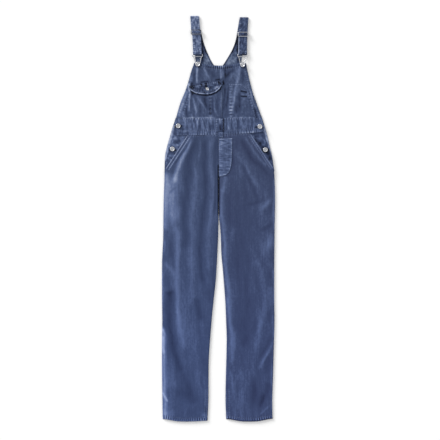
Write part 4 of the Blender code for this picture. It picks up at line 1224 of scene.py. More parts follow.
def build_fly(finishes: "Finishes", leg: FrontLeg) -> None:
    """The fly: a curved piece with puckers across it and a row of stitches round its edge."""
    below = front_surface(LEFT_LEG_FOLDS, crumples=leg.surface.crumples)
    surface = Surface(
        below.at, lift=GAP + FLY, tone=0.25,
        seams=(Seam(tuple(inset(FLY_CURVE, 3.0)), 0.3, 7.0, 4.0, 0.35, 0.3, 0.3),
               Seam(((4.5, 294), (4.5, 162)), 0.3, 8.0, 4.0, 0.1, 0.3, 0.1),
               Seam(((4, 293.5), (45, 293.5)), 0.2, 7.0, 3.0, 0.4, 0.3, 0.2)),
        crumples=(Crumple(18.0, 3.9, 0.4, 0.34, 61), Crumple(8.0, 3.0, 0.1, 0.2, 62)))
    ClothPiece("fly", finishes.body, FLY, rests_on=("front_leg_left",)).make(
        cut_out(FLY_OUTLINE, 1.8), surface)
    sew("stitching_fly", finishes.thread, surface)


# --- Back ---

def flat_at(height: float) -> Callable:
    """A base that lies flat at one height."""
    return lambda x, y: (np.full(np.shape(x), height), np.zeros(np.shape(x)))


@dataclass
class Back:
    """Back legs, waistband, bib halves and side plackets, lying on the floor."""

    finishes: "Finishes"
    legs: dict[Side, FrontLeg]    # whose outlines the back shares
    off_floor: float = 0.12       # where the underside lies, but for its creases
    arm_shadow: float = 16.5      # from a bib button to the strap's shadow beside it
    under_creases: tuple[Crumple, ...] = (
        Crumple(24.0, 70.0, 0.3, 0.16, 71), Crumple(9.0, 26.0, 0.1, 0.1, 72))

    def underside(self) -> Surface:
        """The face that rests on the floor, hollowed a little where the cloth creases."""
        return Surface(flat_at(self.off_floor), crumples=self.under_creases, lowest=0.0)

    def build(self) -> None:
        """Make every piece of the back."""
        top = Surface(flat_at(CLOTH))
        for side, leg in self.legs.items():
            ClothPiece(f"back_leg_{side.value}", leg.cloth, lean=LEG_LEAN * side.sign, roll=0.25).make(
                leg.flat(5.0, 7.0), top, self.underside())
            self.build_bib_half(side)
            self.build_placket(side)
        ClothPiece("back_waistband", self.finishes.body, roll=0.25).make(
            band_cut(BACK_BAND, crowded(360.0, 4.0), crowded(60.0, 4.0)), top, self.underside())

    def build_bib_half(self, side: Side) -> None:
        """Half of the back bib, wrong side up, with a turned hem along the V."""
        rows = BACK_BIB[side]
        low = WAIST_TOP + GAP
        sign = side.sign

        def place(u: Array, v: Array) -> Pair:
            """Places by shares across and up."""
            y = low + (rows[-1][0] - low) * v
            share = u if side is Side.RIGHT else 1 - u
            middle = sign * np.maximum(sign * along(rows, y, 2), abs(rows[0][2]))
            return along(rows, y, 1) * (1 - share) + middle * share, y

        hem = [(x, y) for y, _, x in rows if y >= V_BOTTOM]
        edge, line, high = (tuple((x + sign * away, y) for x, y in run)
                            for away, run in ((2.0, hem), (10.0, hem), (8.0, hem[3:])))
        button = BIB_BUTTONS[side][0]
        shadow = tuple((button - sign * (self.arm_shadow - max(y - 640, 0) * 0.06), y) for _, y in hem)
        # Painted shade: the strap's shadow beside the button, and a darker band high on the arm, near the
        # strap
        surface = Surface(flat_at(CLOTH - 0.25), sway=0.0,
                          seams=(Seam(line, 0.15, 8.0, 4.0, 0.1, 0.2, 0.15),),
                          folds=(Fold(edge, 3.0, 0.25, -0.8), Fold(shadow, 5.0, 0.0, -0.8),
                                 Fold(high, 10.0, 0.0, -0.45, 0.2)),
                          crumples=(Crumple(8.0, 9.0, 0.12, 0.34, 81), Crumple(3.5, 4.0, 0.05, 0.2, 82)))
        ClothPiece(f"back_bib_{side.value}", self.finishes.wrong_side, slot=Slot.INSIDE,
                   under_material=self.finishes.body, roll=0.3).make(
            lay_grid(crowded(80.0, 2.4), crowded(330.0, 2.6), place), surface, self.underside())
        sew(f"stitching_back_bib_{side.value}", self.finishes.thread, surface)

    def build_placket(self, side: Side) -> None:
        """The placket of the side opening, between the back and the facing."""
        right = side is Side.RIGHT
        column = 1 if right else 2

        def place(u: Array, v: Array) -> Pair:
            """Places by shares across and up."""
            y = PLACKET_END + (PLACKET_TOP - PLACKET_END) * v
            edge = np.where(y > WAIST_SEAM, along(BACK_BAND, y, column), along(LEG_EDGES[side], y, 1))
            shift = PLACKET_WIDTH * (u if right else 1 - u) + 0.6
            return edge - side.sign * shift, y

        rim, heights = place(np.full(9, 0.0 if right else 1.0), np.linspace(0.0, 1.0, 9))
        # A strip along the placket's edge, painted pale for wear and highlight
        worn_and_lit = tuple((float(x) + side.sign * -3.0, float(y)) for x, y in zip(rim, heights))
        surface = Surface(flat_at(CLOTH + GAP + TRIM), lines=(Fold(worn_and_lit, 6.0, 0.0, 0.8, 0.0),), tone=0.1,
                          crumples=(Crumple(7.0, 7.0, 0.15, 0.35, 91),))
        ClothPiece(f"side_placket_{side.value}", self.finishes.body, TRIM,
                   rests_on=(f"back_leg_{side.value}",)).make(
            lay_grid(crowded(PLACKET_WIDTH, 2.2), crowded(130.0, 2.2), place), surface)


# --- Straps and hardware ---

SLIDER_Y = {Side.RIGHT: 689.0, Side.LEFT: 681.0}
BUCKLE_BAR_Y = 607.5
STRAP_TOP = {Side.RIGHT: TOP, Side.LEFT: TOP - 5.0}
# Middle of each strap from the shoulder fold to the buckle: y and x
STRAP_LINE = {
    Side.RIGHT: ((TOP, -88.4), (690, -83.0), (646, -79.4), (600, -77.8)),
    Side.LEFT: ((TOP - 5.0, 94.5), (687, 91.2), (646, 89.7), (600, 89.2)),
}
BAR_CLEAR = 2.8        # from a slider bar's middle to the strap's middle
SLIDER_BAR_PITCH = 7.75
BUCKLE_WIRE = 2.4
UPPER = CLOTH + GAP + STRAP / 2    # middle of a strap that lies on the back or on its own lower run
DOUBLED = UPPER + STRAP + GAP      # middle of the strap's outer layer below the slider


def slider_bars() -> tuple[float, float, float]:
    """Height of a slider's top, middle and bottom bars: it leans on the doubled strap."""
    return UPPER + BAR_CLEAR, (UPPER + DOUBLED) / 2 + BAR_CLEAR, DOUBLED + BAR_CLEAR


@dataclass
class Strap:
    """A strap folded over at the shoulder and doubled through its slider, as a ribbon along a path."""

    side: Side
    finishes: "Finishes"
    width: float = 32.0
    start: float = 696.4     # lower end of the run on the floor, against the back arm
    lifts: float = 722.0     # the upper run starts to sink towards the slider here
    sinks: float = 624.0     # and rises towards the buckle's bar here
    row: float = 3.2         # from an edge to its stitches

    # Tone of each strap, how pale its edge is painted for wear and highlight, and how far the lower run
    # has slid out at its lower end
    tones = {Side.RIGHT: 0.38, Side.LEFT: -0.12}
    edge_worn_and_lit = {Side.RIGHT: 0.2, Side.LEFT: 1.7}
    slid = {Side.RIGHT: -2.0, Side.LEFT: -5.5}

    def __post_init__(self) -> None:
        """Smooth the path and set out the edge seams."""
        path = np.array(self.corners())
        run = np.concatenate(([0.0], np.cumsum(np.hypot(*np.diff(path, axis=0).T))))
        steps = np.arange(0.0, run[-1], 0.5)
        dense = np.stack([np.interp(steps, run, path[:, k]) for k in (0, 1)], axis=1)
        self.path = self.soften(dense)
        self.run = np.concatenate(([0.0], np.cumsum(np.hypot(*np.diff(self.path, axis=0).T))))
        heading = np.gradient(self.path, axis=0)
        heading /= np.linalg.norm(heading, axis=1)[:, None]
        self.outward = np.stack([heading[:, 1], -heading[:, 0]], axis=1)
        self.length = float(self.run[-1])
        self.shoulder = float(self.run[int(np.argmax(self.path[:, 0]))])
        self.relief = self.set_out()
        self.seams = self.relief.seams

    def set_out(self) -> Surface:
        """The relief of the flat ribbon: across it, and along its run from the lower end."""
        edge, rim = self.width / 2 - self.row, 1 - self.width / 2
        bottom = float(self.run[int(np.argmin(self.path[:, 0]))])    # where it turns round the buckle's bar
        over_slider = self.shoulder + STRAP_TOP[self.side] - SLIDER_Y[self.side]
        sides = tuple(Seam(((x, self.shoulder + 3.0), (x, self.length - 2)), 0.22, 7.0, 3.5, -0.1, 0.25, 0.6)
                      for x in (-edge, edge))
        across = Seam(((-edge, bottom - 14), (edge, bottom - 14)), 0.15, 8.0, 3.0, 0.4, 0.25, 0.15)
        worn_and_lit = Fold(((rim, over_slider + 12), (rim, bottom)), 1.5, 0.0, self.edge_worn_and_lit[self.side], 0.03)
        # Painted shade where the strap turns round the buckle's bar and where it meets the slider
        bend_shades = tuple(Fold(((-edge - 1, y), (edge + 1, y)), spread, 0.0, -0.5, 0.0)
                      for y, spread in ((bottom - 3, 2.4), (over_slider, 3.6)))
        sign = self.side.sign
        return Surface(flat_at(0.0), sway=0.0, tone=self.tones[self.side], lines=(worn_and_lit,), folds=bend_shades,
                       seams=(*sides, across), crumples=(Crumple(7.0, 12.0, 0.18, 0.3, 101 + sign),
                                                         Crumple(3.0, 6.0, 0.1, 0.6, 105 + sign)))

    @staticmethod
    def soften(path: Array) -> Array:
        """Round the corners of a path a little, with its ends in place."""
        kernel = np.exp(-(np.arange(-6, 7) / 3.0) ** 2)
        kernel /= kernel.sum()
        padded = np.concatenate((np.repeat(path[:1], 6, axis=0), path, np.repeat(path[-1:], 6, axis=0)))
        return np.stack([np.convolve(padded[:, k], kernel, "valid") for k in (0, 1)], axis=1)

    def corners(self) -> list[Place]:
        """The strap's middle as (y, z): on the floor, over the shoulder, through the slider to the buckle."""
        floor_run = STRAP / 2
        turn = (UPPER + STRAP / 2 + GAP - floor_run) / 2
        centre = STRAP_TOP[self.side] - STRAP / 2 - turn
        path = [(self.start + GAP, floor_run), (self.lifts, floor_run)]
        path += [(centre + turn * math.cos(a), floor_run + turn + turn * math.sin(a))
                 for a in np.linspace(-math.pi / 2, math.pi / 2, 9)]
        slider = SLIDER_Y[self.side]
        high, middle, low = slider_bars()
        path += [(self.lifts, floor_run + 2 * turn), (slider + SLIDER_BAR_PITCH + 5.0, UPPER),
                 (slider + SLIDER_BAR_PITCH, high - BAR_CLEAR), (slider + 1.0, middle + BAR_CLEAR),
                 (slider - 1.0, middle + BAR_CLEAR), (slider - SLIDER_BAR_PITCH, low - BAR_CLEAR),
                 (slider - SLIDER_BAR_PITCH - 4.0, DOUBLED), (self.sinks, DOUBLED)]
        turn = BUCKLE_WIRE / 2 + GAP + STRAP / 2
        path += [(BUCKLE_BAR_Y + turn * math.cos(a), UPPER + turn + turn * math.sin(a))
                 for a in np.linspace(math.pi / 2, 3 * math.pi / 2, 9)]
        return [*path, (slider - 2.0, UPPER)]

    def place(self, across: Array, run: Array, rise: Array) -> Array:
        """Places on the ribbon.

        Args:
            across: Distance from the ribbon's middle.
            run: Distance along it.
            rise: Distance out from the middle of its thickness.

        Returns:
            One row of x, y and z for each place.
        """
        y, z, out_y, out_z = (np.interp(run, self.run, column) for column in (*self.path.T, *self.outward.T))
        slid = self.slid[self.side] * np.clip(1.0 - run / self.shoulder, 0.0, 1.0)
        x = along(STRAP_LINE[self.side], y, 1) + slid + across
        return np.stack([x, y + out_y * rise, z + out_z * rise], axis=1)

    def point(self, across: float, run: float) -> Vector:
        """One place on the outer face."""
        rise = STRAP / 2 + self.relief.at(np.array([across]), np.array([run]))[0]
        return Vector(self.place(np.array([across]), np.array([run]), rise)[0])

    def up(self, across: float, run: float) -> Vector:
        """Direction out of the outer face."""
        return Vector((0.0, *(float(np.interp(run, self.run, column)) for column in self.outward.T)))

    def build(self) -> None:
        """Make the strap and its stitching."""
        name = f"strap_{self.side.value}"
        flat = lay_grid(crowded(self.width, 2.0, (0.7, 1.8)), crowded(self.length, 2.0),
                        lambda u, v: ((u - 0.5) * self.width, v * self.length))
        ClothPiece.wall(flat, *self.faces(flat))
        uv = {vert.index: (vert.co.x, vert.co.y) for vert in flat.verts}
        places = np.array([vert.co for vert in flat.verts]) / MM
        for vert, place in zip(flat.verts, self.place(places[:, 0], places[:, 1], places[:, 2])):
            vert.co = Vector(place) * MM
        flat.verts.index_update()
        weave = flat.loops.layers.uv.new("weave")
        for face in flat.faces:
            for loop in face.loops:
                loop[weave].uv = uv[loop.vert.index]
        bmesh.ops.recalc_face_normals(flat, faces=flat.faces[:])
        piece = finish_mesh(f"{name}_cloth", flat, [self.finishes.strap])
        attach(piece, "root")
        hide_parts(name)
        LOG.info("%s: %.0f mm long", name, self.length)
        sew(f"stitching_{name}", self.finishes.thread, self)

    def faces(self, flat: Mesh) -> tuple[Array, Array, Array]:
        """Rise of the outer face, of the inner face, and tone, at each point of the flat ribbon."""
        places = np.array([vert.co[:2] for vert in flat.verts]) / MM
        height, tone = self.relief.at(places[:, 0], places[:, 1])
        height = height * smooth(self.shoulder, self.shoulder + 8.0, places[:, 1])
        edge = np.exp(-ClothPiece.edge_distance(flat) ** 2)
        lower = np.full(len(height), -STRAP / 2) + 0.3 * edge
        return height + STRAP / 2 - 0.8 * edge, lower, tone


def wires(name: str, material: Material, runs: Sequence[tuple[list[Vector], float, bool]],
          darkening: float) -> bpy.types.Object:
    """Bent round wires as one mesh.

    Args:
        name: The object's name.
        material: The metal.
        runs: For each wire, its points in millimetres, its radius and whether it closes.
        darkening: How much darker the metal is made, 0 to 1.

    Returns:
        The piece.
    """
    curve = bpy.data.curves.new(f"{name}_line", "CURVE")
    curve.dimensions = "3D"
    curve.bevel_depth = MM
    curve.bevel_resolution = 4
    curve.use_fill_caps = True
    for points, radius, cyclic in runs:
        spline = curve.splines.new("POLY")
        spline.points.add(len(points) - 1)
        for knot, place in zip(spline.points, points):
            knot.co = (*(place * MM), 1.0)
            knot.radius = radius
        spline.use_cyclic_u = cyclic
    drawn = bpy.data.objects.new(f"{name}_line", curve)
    bpy.context.collection.objects.link(drawn)
    bpy.context.view_layer.update()
    mesh = bpy.data.meshes.new_from_object(drawn.evaluated_get(bpy.context.evaluated_depsgraph_get()))
    bm = bmesh.new()
    bm.from_mesh(mesh)
    bpy.data.objects.remove(drawn, do_unlink=True)
    bpy.data.curves.remove(curve)
    bpy.data.meshes.remove(mesh)
    bmesh.ops.remove_doubles(bm, verts=bm.verts[:], dist=0.01 * MM)
    bmesh.ops.recalc_face_normals(bm, faces=bm.faces[:])
    metal_darkening = bm.verts.layers.float.new("metal_darkening")
    for vert in bm.verts:
        vert[metal_darkening] = darkening
    piece = finish_mesh(f"{name}_wire", bm, [material], 60.0)
    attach(piece, "root")
    return piece


@dataclass
class Fittings:
    """Sliders, wire buckles and tack buttons."""

    material: Material
    width: float = 36.8          # of sliders and buckles
    slider_wire: float = 1.25    # radius
    buckle_wire: float = 1.45
    thinner: tuple[float, float] = (0.85, 0.9)    # slider's bar and hook, as shares of the frames' wire
    corner: float = 2.6
    corner_steps: int = 6
    bar_drop: float = 8.4        # from one bar of a buckle's frame to the other
    hook_radius: float = 7.6
    hook_spread: float = 15.0
    hook_waist: Place = (10.6, 14.0)    # half its width and its drop from the bar, where it nears the button
    hook_turn: tuple[int, int] = (200, 340)
    neck: float = 0.36           # of a button: its neck's radius and its rim's, as shares of its own
    rim: float = 0.82
    cap: float = 0.42            # depth of its cap, as a share of its height

    # How much darker each slider and buckle is made, as a whole
    slider_darkening = {Side.RIGHT: 0.75, Side.LEFT: 0.1}
    buckle_darkening = {Side.RIGHT: 0.2, Side.LEFT: 0.05}
    # Outline of a button's cap, from its underside to its middle: share of the radius, and of the cap's
    # depth below its rim
    cap_line = (
        (0.86, 1.0), (0.97, 0.78), (1.0, 0.5), (0.97, 0.2), (0.89, 0.0), (0.8, 0.12), (0.72, 0.42),
        (0.62, 0.5), (0.46, 0.46), (0.4, 0.62), (0.28, 0.66), (0.2, 0.4), (0.1, 0.28), (0.0, 0.26))

    def frame_line(self, middle: float, low: float, high: float, height: Callable) -> list[Vector]:
        """Points of a rectangle with round corners, as wide as the hardware; height gives z at a y."""
        half, corner = self.width / 2, self.corner
        points = []
        for cx, cy, start in ((half - corner, high - corner, 0), (corner - half, high - corner, 90),
                              (corner - half, low + corner, 180), (half - corner, low + corner, 270)):
            for angle in np.radians(np.linspace(start, start + 90, self.corner_steps)):
                y = cy + corner * math.sin(angle)
                points.append(Vector((middle + cx + corner * math.cos(angle), y, height(y))))
        return points

    def slider(self, side: Side) -> None:
        """A wire slider: two bars over the strap and one under it."""
        centre = SLIDER_Y[side]
        high, _, low = slider_bars()
        middle = read(STRAP_LINE[side], centre, 1)

        def height(y: float) -> float:
            """Height of the leaning frame."""
            return high + (low - high) * (centre + SLIDER_BAR_PITCH - y) / (2 * SLIDER_BAR_PITCH)

        frame = self.frame_line(middle, centre - SLIDER_BAR_PITCH, centre + SLIDER_BAR_PITCH, height)
        bar = [Vector((middle + x, centre, height(centre))) for x in (-self.width / 2, self.width / 2)]
        piece = wires(f"slider_{side.value}", self.material, [
            (frame, self.slider_wire, True), (bar, self.slider_wire * self.thinner[0], False)],
            self.slider_darkening[side])
        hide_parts(f"slider_{side.value}")

    def buckle(self, side: Side) -> None:
        """A wire buckle: a frame that the strap loops through and a hook round the button's neck."""
        button = BIB_BUTTONS[side]
        lying = UPPER + BUCKLE_WIRE / 2 + GAP + STRAP / 2
        over_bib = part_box(f"bib_button_{side.value}")[0][2] / MM + BUCKLE_WIRE / 2
        middle = read(STRAP_LINE[side], BUCKLE_BAR_Y, 1)
        low = BUCKLE_BAR_Y - self.bar_drop
        frame = self.frame_line(middle, low, BUCKLE_BAR_Y, lambda y: lying)
        radius, spread = self.hook_radius, self.hook_spread
        wide, down = self.hook_waist
        ring = [Vector((button[0] + radius * math.cos(a), button[1] + radius * math.sin(a), over_bib))
                for a in np.radians(np.linspace(*self.hook_turn, 16))]
        hook = [Vector((middle - spread, low, lying)), Vector((button[0] - wide, low - down, lying)),
                *ring, Vector((button[0] + wide, low - down, lying)), Vector((middle + spread, low, lying))]
        piece = wires(f"buckle_{side.value}", self.material, [
            (frame, self.buckle_wire, True), (hook, self.buckle_wire * self.thinner[1], False)],
            self.buckle_darkening[side])
        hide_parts(f"buckle_{side.value}")

    def button(self, name: str) -> None:
        """A turned tack button: a neck under a domed cap with a rolled rim and a small boss."""
        low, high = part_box(name)
        radius = (high[0] - low[0]) / 2 / MM
        height = (high[2] - low[2]) / MM
        middle = Vector(((low[0] + high[0]) / 2, (low[1] + high[1]) / 2, low[2]))
        neck = radius * self.neck
        cap = height * self.cap
        profile = [(0.0, 0.0), (neck, 0.0), (neck, height - cap),
                   *((radius * out, height - cap * down) for out, down in self.cap_line)]
        bm = bmesh.new()
        verts = [bm.verts.new(middle + Vector((x, 0.0, z)) * MM) for x, z in profile]
        edges = [bm.edges.new(pair) for pair in zip(verts, verts[1:])]
        bmesh.ops.spin(bm, geom=verts + edges, cent=middle, axis=(0, 0, 1), angle=2 * math.pi, steps=40,
                       use_merge=True)
        bmesh.ops.remove_doubles(bm, verts=bm.verts[:], dist=0.01 * MM)
        bmesh.ops.recalc_face_normals(bm, faces=bm.faces[:])
        # Darker the deeper a point lies below the cap's top
        metal_darkening = bm.verts.layers.float.new("metal_darkening")
        for vert in bm.verts:
            from_rim = abs((vert.co - middle).xy.length / MM / radius - self.rim)
            below = (height - (vert.co.z - middle.z) / MM) / cap
            vert[metal_darkening] = min(max(below * 0.7 - 0.1 + 0.1 * from_rim, 0.0), 1.0)
        piece = finish_mesh(f"{name}_cap", bm, [self.material], 60.0)
        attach(piece, "root")
        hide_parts(name)

    def build(self) -> None:
        """Make all the hardware."""
        for side in Side:
            self.slider(side)
            self.buckle(side)
            self.button(f"bib_button_{side.value}")
        for place in SIDE_BUTTONS:
            self.button(f"side_button_{place}")
        self.button("chest_flap_button")
        LOG.info("hardware made")


# --- Finishes ---

def colour(code: str) -> tuple[float, float, float, float]:
    """Turn an sRGB hex value to linear."""
    parts = [int(code[i:i + 2], 16) / 255 for i in (1, 3, 5)]
    linear = [p / 12.92 if p <= 0.04045 else ((p + 0.055) / 1.055) ** 2.4 for p in parts]
    return (*linear, 1.0)


def feed(tree: Tree, node: bpy.types.Node, inputs: dict) -> None:
    """Give each of a node's inputs its value, or a link where a socket is given."""
    for name, value in inputs.items():
        if isinstance(value, Socket):
            tree.links.new(value, node.inputs[name])
        else:
            node.inputs[name].default_value = value


def add_node(tree: Tree, kind: str, settings: dict | None = None,
             inputs: dict | None = None) -> bpy.types.Node:
    """Add a node with its settings, values and links.

    Args:
        tree: The node tree.
        kind: The node's type, after its prefix.
        settings: Properties of the node.
        inputs: For each input, a value or a socket to link from.

    Returns:
        The node.
    """
    node = tree.nodes.new(f"ShaderNode{kind}")
    for name, value in (settings or {}).items():
        setattr(node, name, value)
    feed(tree, node, inputs or {})
    return node


def new_material(name: str) -> tuple[Material, Tree, bpy.types.Node]:
    """A material with only its shader."""
    material = bpy.data.materials.new(name)
    material.use_nodes = True
    return material, material.node_tree, material.node_tree.nodes["Principled BSDF"]


@dataclass(frozen=True)
class Corduroy:
    """Garment-washed cotton corduroy: cut pile in ribs, matt, with a soft sheen at a slant.

    Furrows and creases are painted dark as shade, crests pale as highlight, and washing and wear pale the
    nap.
    """

    name: str
    # Ramp stops: painted deep shade, shade, the cloth's blue, light, and worn nap with painted highlight
    deep_shade: str = "#0E1526"
    shade: str = "#313D5E"
    middle: str = "#435174"
    light: str = "#66769E"
    worn_and_lit: str = "#A3AFCF"
    upper_wash: str = "#F6F5EF"    # the top is washed greyer
    lower_wash: str = "#EAF1FF"    # the lower legs stay bluer
    furrow_shade: float = 0.66       # how much darker a furrow is painted, as shade between the ribs
    relief: float = 0.55       # how strongly the ribs stand out
    wale: float = 2.5          # one rib and its furrow, about ten to the inch
    wander: tuple[float, float] = (14.0, 40.0)    # over which the ribs wander by about a millimetre
    tuft: float = 0.9          # length of a tuft of pile
    streak: tuple[float, float] = (4.5, 70.0)    # nap brushed along the ribs, coarse enough to show
    blotch: float = 60.0
    mottle: float = 7.0
    shares: tuple[float, float, float, float] = (0.14, 0.1, 0.16, 0.2)    # streak, blotch, mottle and tuft

    def build(self) -> Material:
        """Make the material."""
        material, tree, shader = new_material(self.name)
        weave = add_node(tree, "UVMap", {"uv_map": "weave"})
        parts = add_node(tree, "SeparateXYZ", inputs={"Vector": weave.outputs["UV"]})
        sway = self.noise(tree, weave.outputs["UV"], self.wander, 1.0)
        across = add_node(tree, "Math", {"operation": "MULTIPLY_ADD"},
                          {0: sway, 1: 0.9 * MM, 2: parts.outputs["X"]})
        turn = add_node(tree, "Math", {"operation": "MULTIPLY"},
                        {0: across.outputs[0], 1: 2 * math.pi / (self.wale * MM)})
        wave = add_node(tree, "Math", {"operation": "SINE"}, {0: turn.outputs[0]})
        rib = add_node(tree, "MapRange", inputs={
            "Value": wave.outputs[0], "From Min": -1.0, "From Max": 0.6, "To Min": 0.0, "To Max": 1.0})
        tuft = self.noise(tree, weave.outputs["UV"], (self.tuft * 1.3, self.tuft), 2.0)
        value = self.tone_value(tree, weave.outputs["UV"], tuft)
        ramp = add_node(tree, "ValToRGB", inputs={"Fac": value})
        self.fill(ramp.color_ramp)
        # Furrows between the ribs are painted darker, as shade
        furrow_shade = add_node(tree, "MapRange", inputs={
            "Value": rib.outputs["Result"], "From Min": 0.0, "From Max": 1.0, "To Min": self.furrow_shade,
            "To Max": 1.08})
        cloth = add_node(tree, "Mix", {"data_type": "RGBA", "blend_type": "MULTIPLY"},
                         {"Factor": 1.0, 6: ramp.outputs["Color"], 7: furrow_shade.outputs["Result"]})
        place = add_node(tree, "TexCoord")
        length = add_node(tree, "SeparateXYZ", inputs={"Vector": place.outputs["Object"]})
        height = add_node(tree, "MapRange", inputs={
            "Value": length.outputs["Y"], "From Min": -0.45, "From Max": 0.5})
        wash = add_node(tree, "Mix", {"data_type": "RGBA"}, {
            "Factor": height.outputs["Result"], 6: colour(self.lower_wash), 7: colour(self.upper_wash)})
        washed = add_node(tree, "Mix", {"data_type": "RGBA", "blend_type": "MULTIPLY"},
                          {"Factor": 1.0, 6: cloth.outputs[2], 7: wash.outputs[2]})
        pile = add_node(tree, "Math", {"operation": "MULTIPLY_ADD"},
                        {0: tuft, 1: 0.35, 2: rib.outputs["Result"]})
        bump = add_node(tree, "Bump", inputs={
            "Strength": self.relief, "Distance": 0.45 * MM, "Height": pile.outputs[0]})
        feed(tree, shader, {
            "Base Color": washed.outputs[2], "Normal": bump.outputs["Normal"], "Roughness": 0.92,
            "Specular IOR Level": 0.2, "Sheen Weight": 0.35, "Sheen Roughness": 0.4,
            "Sheen Tint": colour("#B9C4E6")})
        return material

    @staticmethod
    def noise(tree: Tree, source: Socket, size: Place, detail: float) -> Socket:
        """Noise on the weave, with features of this size across and along."""
        scale = add_node(tree, "Mapping", inputs={
            "Vector": source, "Scale": (1 / size[0] / MM, 1 / size[1] / MM, 1.0)})
        made = add_node(tree, "TexNoise", {"noise_dimensions": "2D"},
                        {"Vector": scale.outputs["Vector"], "Scale": 1.0, "Detail": detail,
                         "Roughness": 0.55})
        return made.outputs["Fac"]

    def tone_value(self, tree: Tree, source: Socket, tuft: Socket) -> Socket:
        """The cloth's place from painted shade to worn nap and painted highlight, with streaks, blotches and
        mottles.
        """
        tone = add_node(tree, "Attribute", {"attribute_name": "tone"})
        streak = self.noise(tree, source, self.streak, 3.0)
        blotch = self.noise(tree, source, (self.blotch, self.blotch * 1.8), 2.0)
        mottle = self.noise(tree, source, (self.mottle, self.mottle * 1.4), 4.0)
        total = add_node(tree, "Math", {"operation": "MULTIPLY_ADD"},
                         {0: tone.outputs["Fac"], 1: 0.5, 2: 0.5 - sum(self.shares) / 2})
        value = total.outputs[0]
        for part, share in zip((streak, blotch, mottle, tuft), self.shares):
            step = add_node(tree, "Math", {"operation": "MULTIPLY_ADD"}, {0: part, 1: share, 2: value})
            value = step.outputs[0]
        return value

    def fill(self, ramp: bpy.types.ColorRamp) -> None:
        """Set the ramp's colours, from painted deep shade to worn nap and painted highlight."""
        stops = ((0.0, self.deep_shade), (0.24, self.shade), (0.5, self.middle), (0.74, self.light),
                 (1.0, self.worn_and_lit))
        for i, (place, code) in enumerate(stops):
            stop = ramp.elements[i] if i < 2 else ramp.elements.new(place)
            stop.position = place
            stop.color = colour(code)


@dataclass(frozen=True)
class SewingThread:
    """Cotton-wrapped polyester topstitching thread: matt, twisted, a shade paler than the cloth."""

    name: str = "cotton_thread"
    pale: str = "#76829F"
    dark: str = "#515E7F"

    def build(self) -> Material:
        """Make the material."""
        material, tree, shader = new_material(self.name)
        place = add_node(tree, "TexCoord")
        fade = add_node(tree, "TexNoise", inputs={
            "Vector": place.outputs["Object"], "Scale": 1 / (18 * MM), "Detail": 3.0})
        mix = add_node(tree, "Mix", {"data_type": "RGBA"},
                       {"Factor": fade.outputs["Fac"], 6: colour(self.dark), 7: colour(self.pale)})
        twist = add_node(tree, "TexNoise", inputs={
            "Vector": place.outputs["Object"], "Scale": 1 / (0.5 * MM), "Detail": 2.0})
        bump = add_node(tree, "Bump", inputs={
            "Strength": 0.4, "Distance": 0.1 * MM, "Height": twist.outputs["Fac"]})
        feed(tree, shader, {"Base Color": mix.outputs[2], "Normal": bump.outputs["Normal"], "Roughness": 0.75,
                            "Sheen Weight": 0.2})
        return material


@dataclass(frozen=True)
class Nickel:
    """Nickel-plated brass wire and stamped buttons: bright, with fine scratches and a dull bloom."""

    name: str = "nickel_plate"
    bright: str = "#ECEDF0"
    bloom: str = "#B9BCC3"
    dark: str = "#3E4148"

    def build(self) -> Material:
        """Make the material."""
        material, tree, shader = new_material(self.name)
        place = add_node(tree, "TexCoord")
        bloom = add_node(tree, "TexNoise", inputs={
            "Vector": place.outputs["Object"], "Scale": 1 / (4 * MM), "Detail": 4.0})
        mix = add_node(tree, "Mix", {"data_type": "RGBA"},
                       {"Factor": bloom.outputs["Fac"], 6: colour(self.bright), 7: colour(self.bloom)})
        scratch = add_node(tree, "TexNoise", inputs={
            "Vector": place.outputs["Object"], "Scale": 1 / (0.4 * MM), "Detail": 3.0})
        bump = add_node(tree, "Bump", inputs={
            "Strength": 0.12, "Distance": 0.05 * MM, "Height": scratch.outputs["Fac"]})
        rough = add_node(tree, "MapRange", inputs={
            "Value": bloom.outputs["Fac"], "From Min": 0.3, "From Max": 0.7, "To Min": 0.26, "To Max": 0.42})
        # Darker where the darkening attribute is high: deep on a button, all over on a darkened wire
        hollow = add_node(tree, "Attribute", {"attribute_name": "metal_darkening"})
        darkened_metal = add_node(tree, "Mix", {"data_type": "RGBA"},
                             {"Factor": hollow.outputs["Fac"], 6: mix.outputs[2], 7: colour(self.dark)})
        feed(tree, shader, {"Base Color": darkened_metal.outputs[2], "Roughness": rough.outputs["Result"],
                            "Normal": bump.outputs["Normal"], "Metallic": 1.0})
        return material


@dataclass(frozen=True)
class PaperFloor:
    """Matt white seamless background paper."""

    name: str = "white_paper"
    white: str = "#FBFBFB"

    def build(self) -> Material:
        """Make the material."""
        material, tree, shader = new_material(self.name)
        feed(tree, shader, {"Base Color": colour(self.white), "Roughness": 0.9})
        return material


@dataclass
class Finishes:
    """Every material of the garment."""

    body: Material = field(default_factory=Corduroy(
        "corduroy_washed", shares=(0.16, 0.14, 0.26, 0.22)).build)
    right_leg: Material = field(default_factory=Corduroy("corduroy_right_leg").build)
    left_leg: Material = field(default_factory=Corduroy(
        "corduroy_left_leg", middle="#404C6E", shade="#30395A").build)
    strap: Material = field(default_factory=Corduroy(
        "corduroy_strap", shares=(0.1, 0.14, 0.34, 0.22)).build)
    wrong_side: Material = field(default_factory=Corduroy(
        "corduroy_wrong_side", middle="#536180", light="#7B88A7", furrow_shade=0.94, relief=0.25, wale=1.1,
        mottle=5.0, shares=(0.1, 0.14, 0.44, 0.2)).build)
    thread: Material = field(default_factory=SewingThread().build)
    nickel: Material = field(default_factory=Nickel().build)


# --- Studio ---

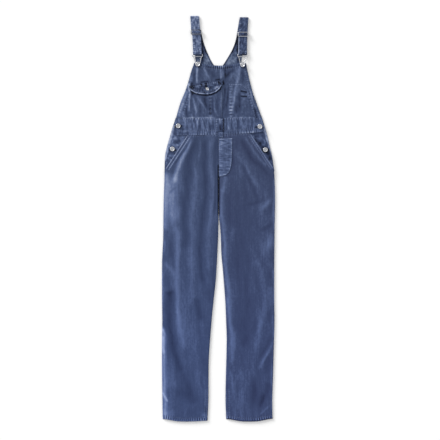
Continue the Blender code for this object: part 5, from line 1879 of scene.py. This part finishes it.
@dataclass
class Studio:
    """Camera straight above, a white floor, and soft light from the upper left."""

    centre: tuple[float, float] = (5.4, -5.0)    # place under the middle of the photograph
    frame: float = 1628.0                        # width of what the photograph shows
    distance: float = 4000.0
    sensor: float = 36.0
    floor_side: float = 30.0
    sun_from: tuple[float, float, float] = (-0.72, 0.68, 0.3)
    sun_energy: float = 3.3
    sun_angle: float = 20.0
    sky: float = 0.76

    def build(self) -> None:
        """Set up the camera, the floor, the light and the sky."""
        self.add_camera()
        self.add_floor()
        self.add_light()

    def add_camera(self) -> None:
        """The camera, framed as the photograph is."""
        data = bpy.data.cameras.new("camera")
        data.sensor_width = self.sensor
        data.lens = self.sensor * self.distance / self.frame
        data.clip_end = 100.0
        camera = bpy.data.objects.new("camera", data)
        camera.location = Vector((*self.centre, self.distance)) * MM
        bpy.context.collection.objects.link(camera)
        bpy.context.scene.camera = camera

    def add_floor(self) -> None:
        """A large sheet of white paper."""
        bm = bmesh.new()
        bmesh.ops.create_grid(bm, x_segments=1, y_segments=1, size=self.floor_side / 2)
        floor = finish_mesh("floor", bm, [PaperFloor().build()])

    def add_light(self) -> None:
        """One soft key from the upper left, and an even white sky."""
        data = bpy.data.lights.new("key", "SUN")
        data.energy = self.sun_energy
        data.angle = math.radians(self.sun_angle)
        key = bpy.data.objects.new("key", data)
        key.rotation_euler = Vector(self.sun_from).to_track_quat("Z", "Y").to_euler()
        bpy.context.collection.objects.link(key)
        world = bpy.data.worlds.new("sky")
        world.use_nodes = True
        sky = world.node_tree.nodes["Background"]
        sky.inputs["Color"].default_value = colour("#FFFFFF")
        sky.inputs["Strength"].default_value = self.sky
        bpy.context.scene.world = world
        bpy.context.scene.view_settings.view_transform = "Standard"


def main() -> None:
    """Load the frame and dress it."""
    logging.basicConfig(level=logging.INFO, format="%(name)s: %(message)s")
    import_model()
    Studio().build()
    finishes = Finishes()
    legs = {side: FrontLeg(side, finishes) for side in Side}
    Back(finishes, legs).build()
    for leg in legs.values():
        leg.build()
    build_fly(finishes, legs[Side.LEFT])
    Bib(finishes).build()
    Waistband(finishes).build()
    for side in Side:
        Strap(side, finishes).build()
    Fittings(finishes.nickel).build()


if __name__ == "__main__":
    main()
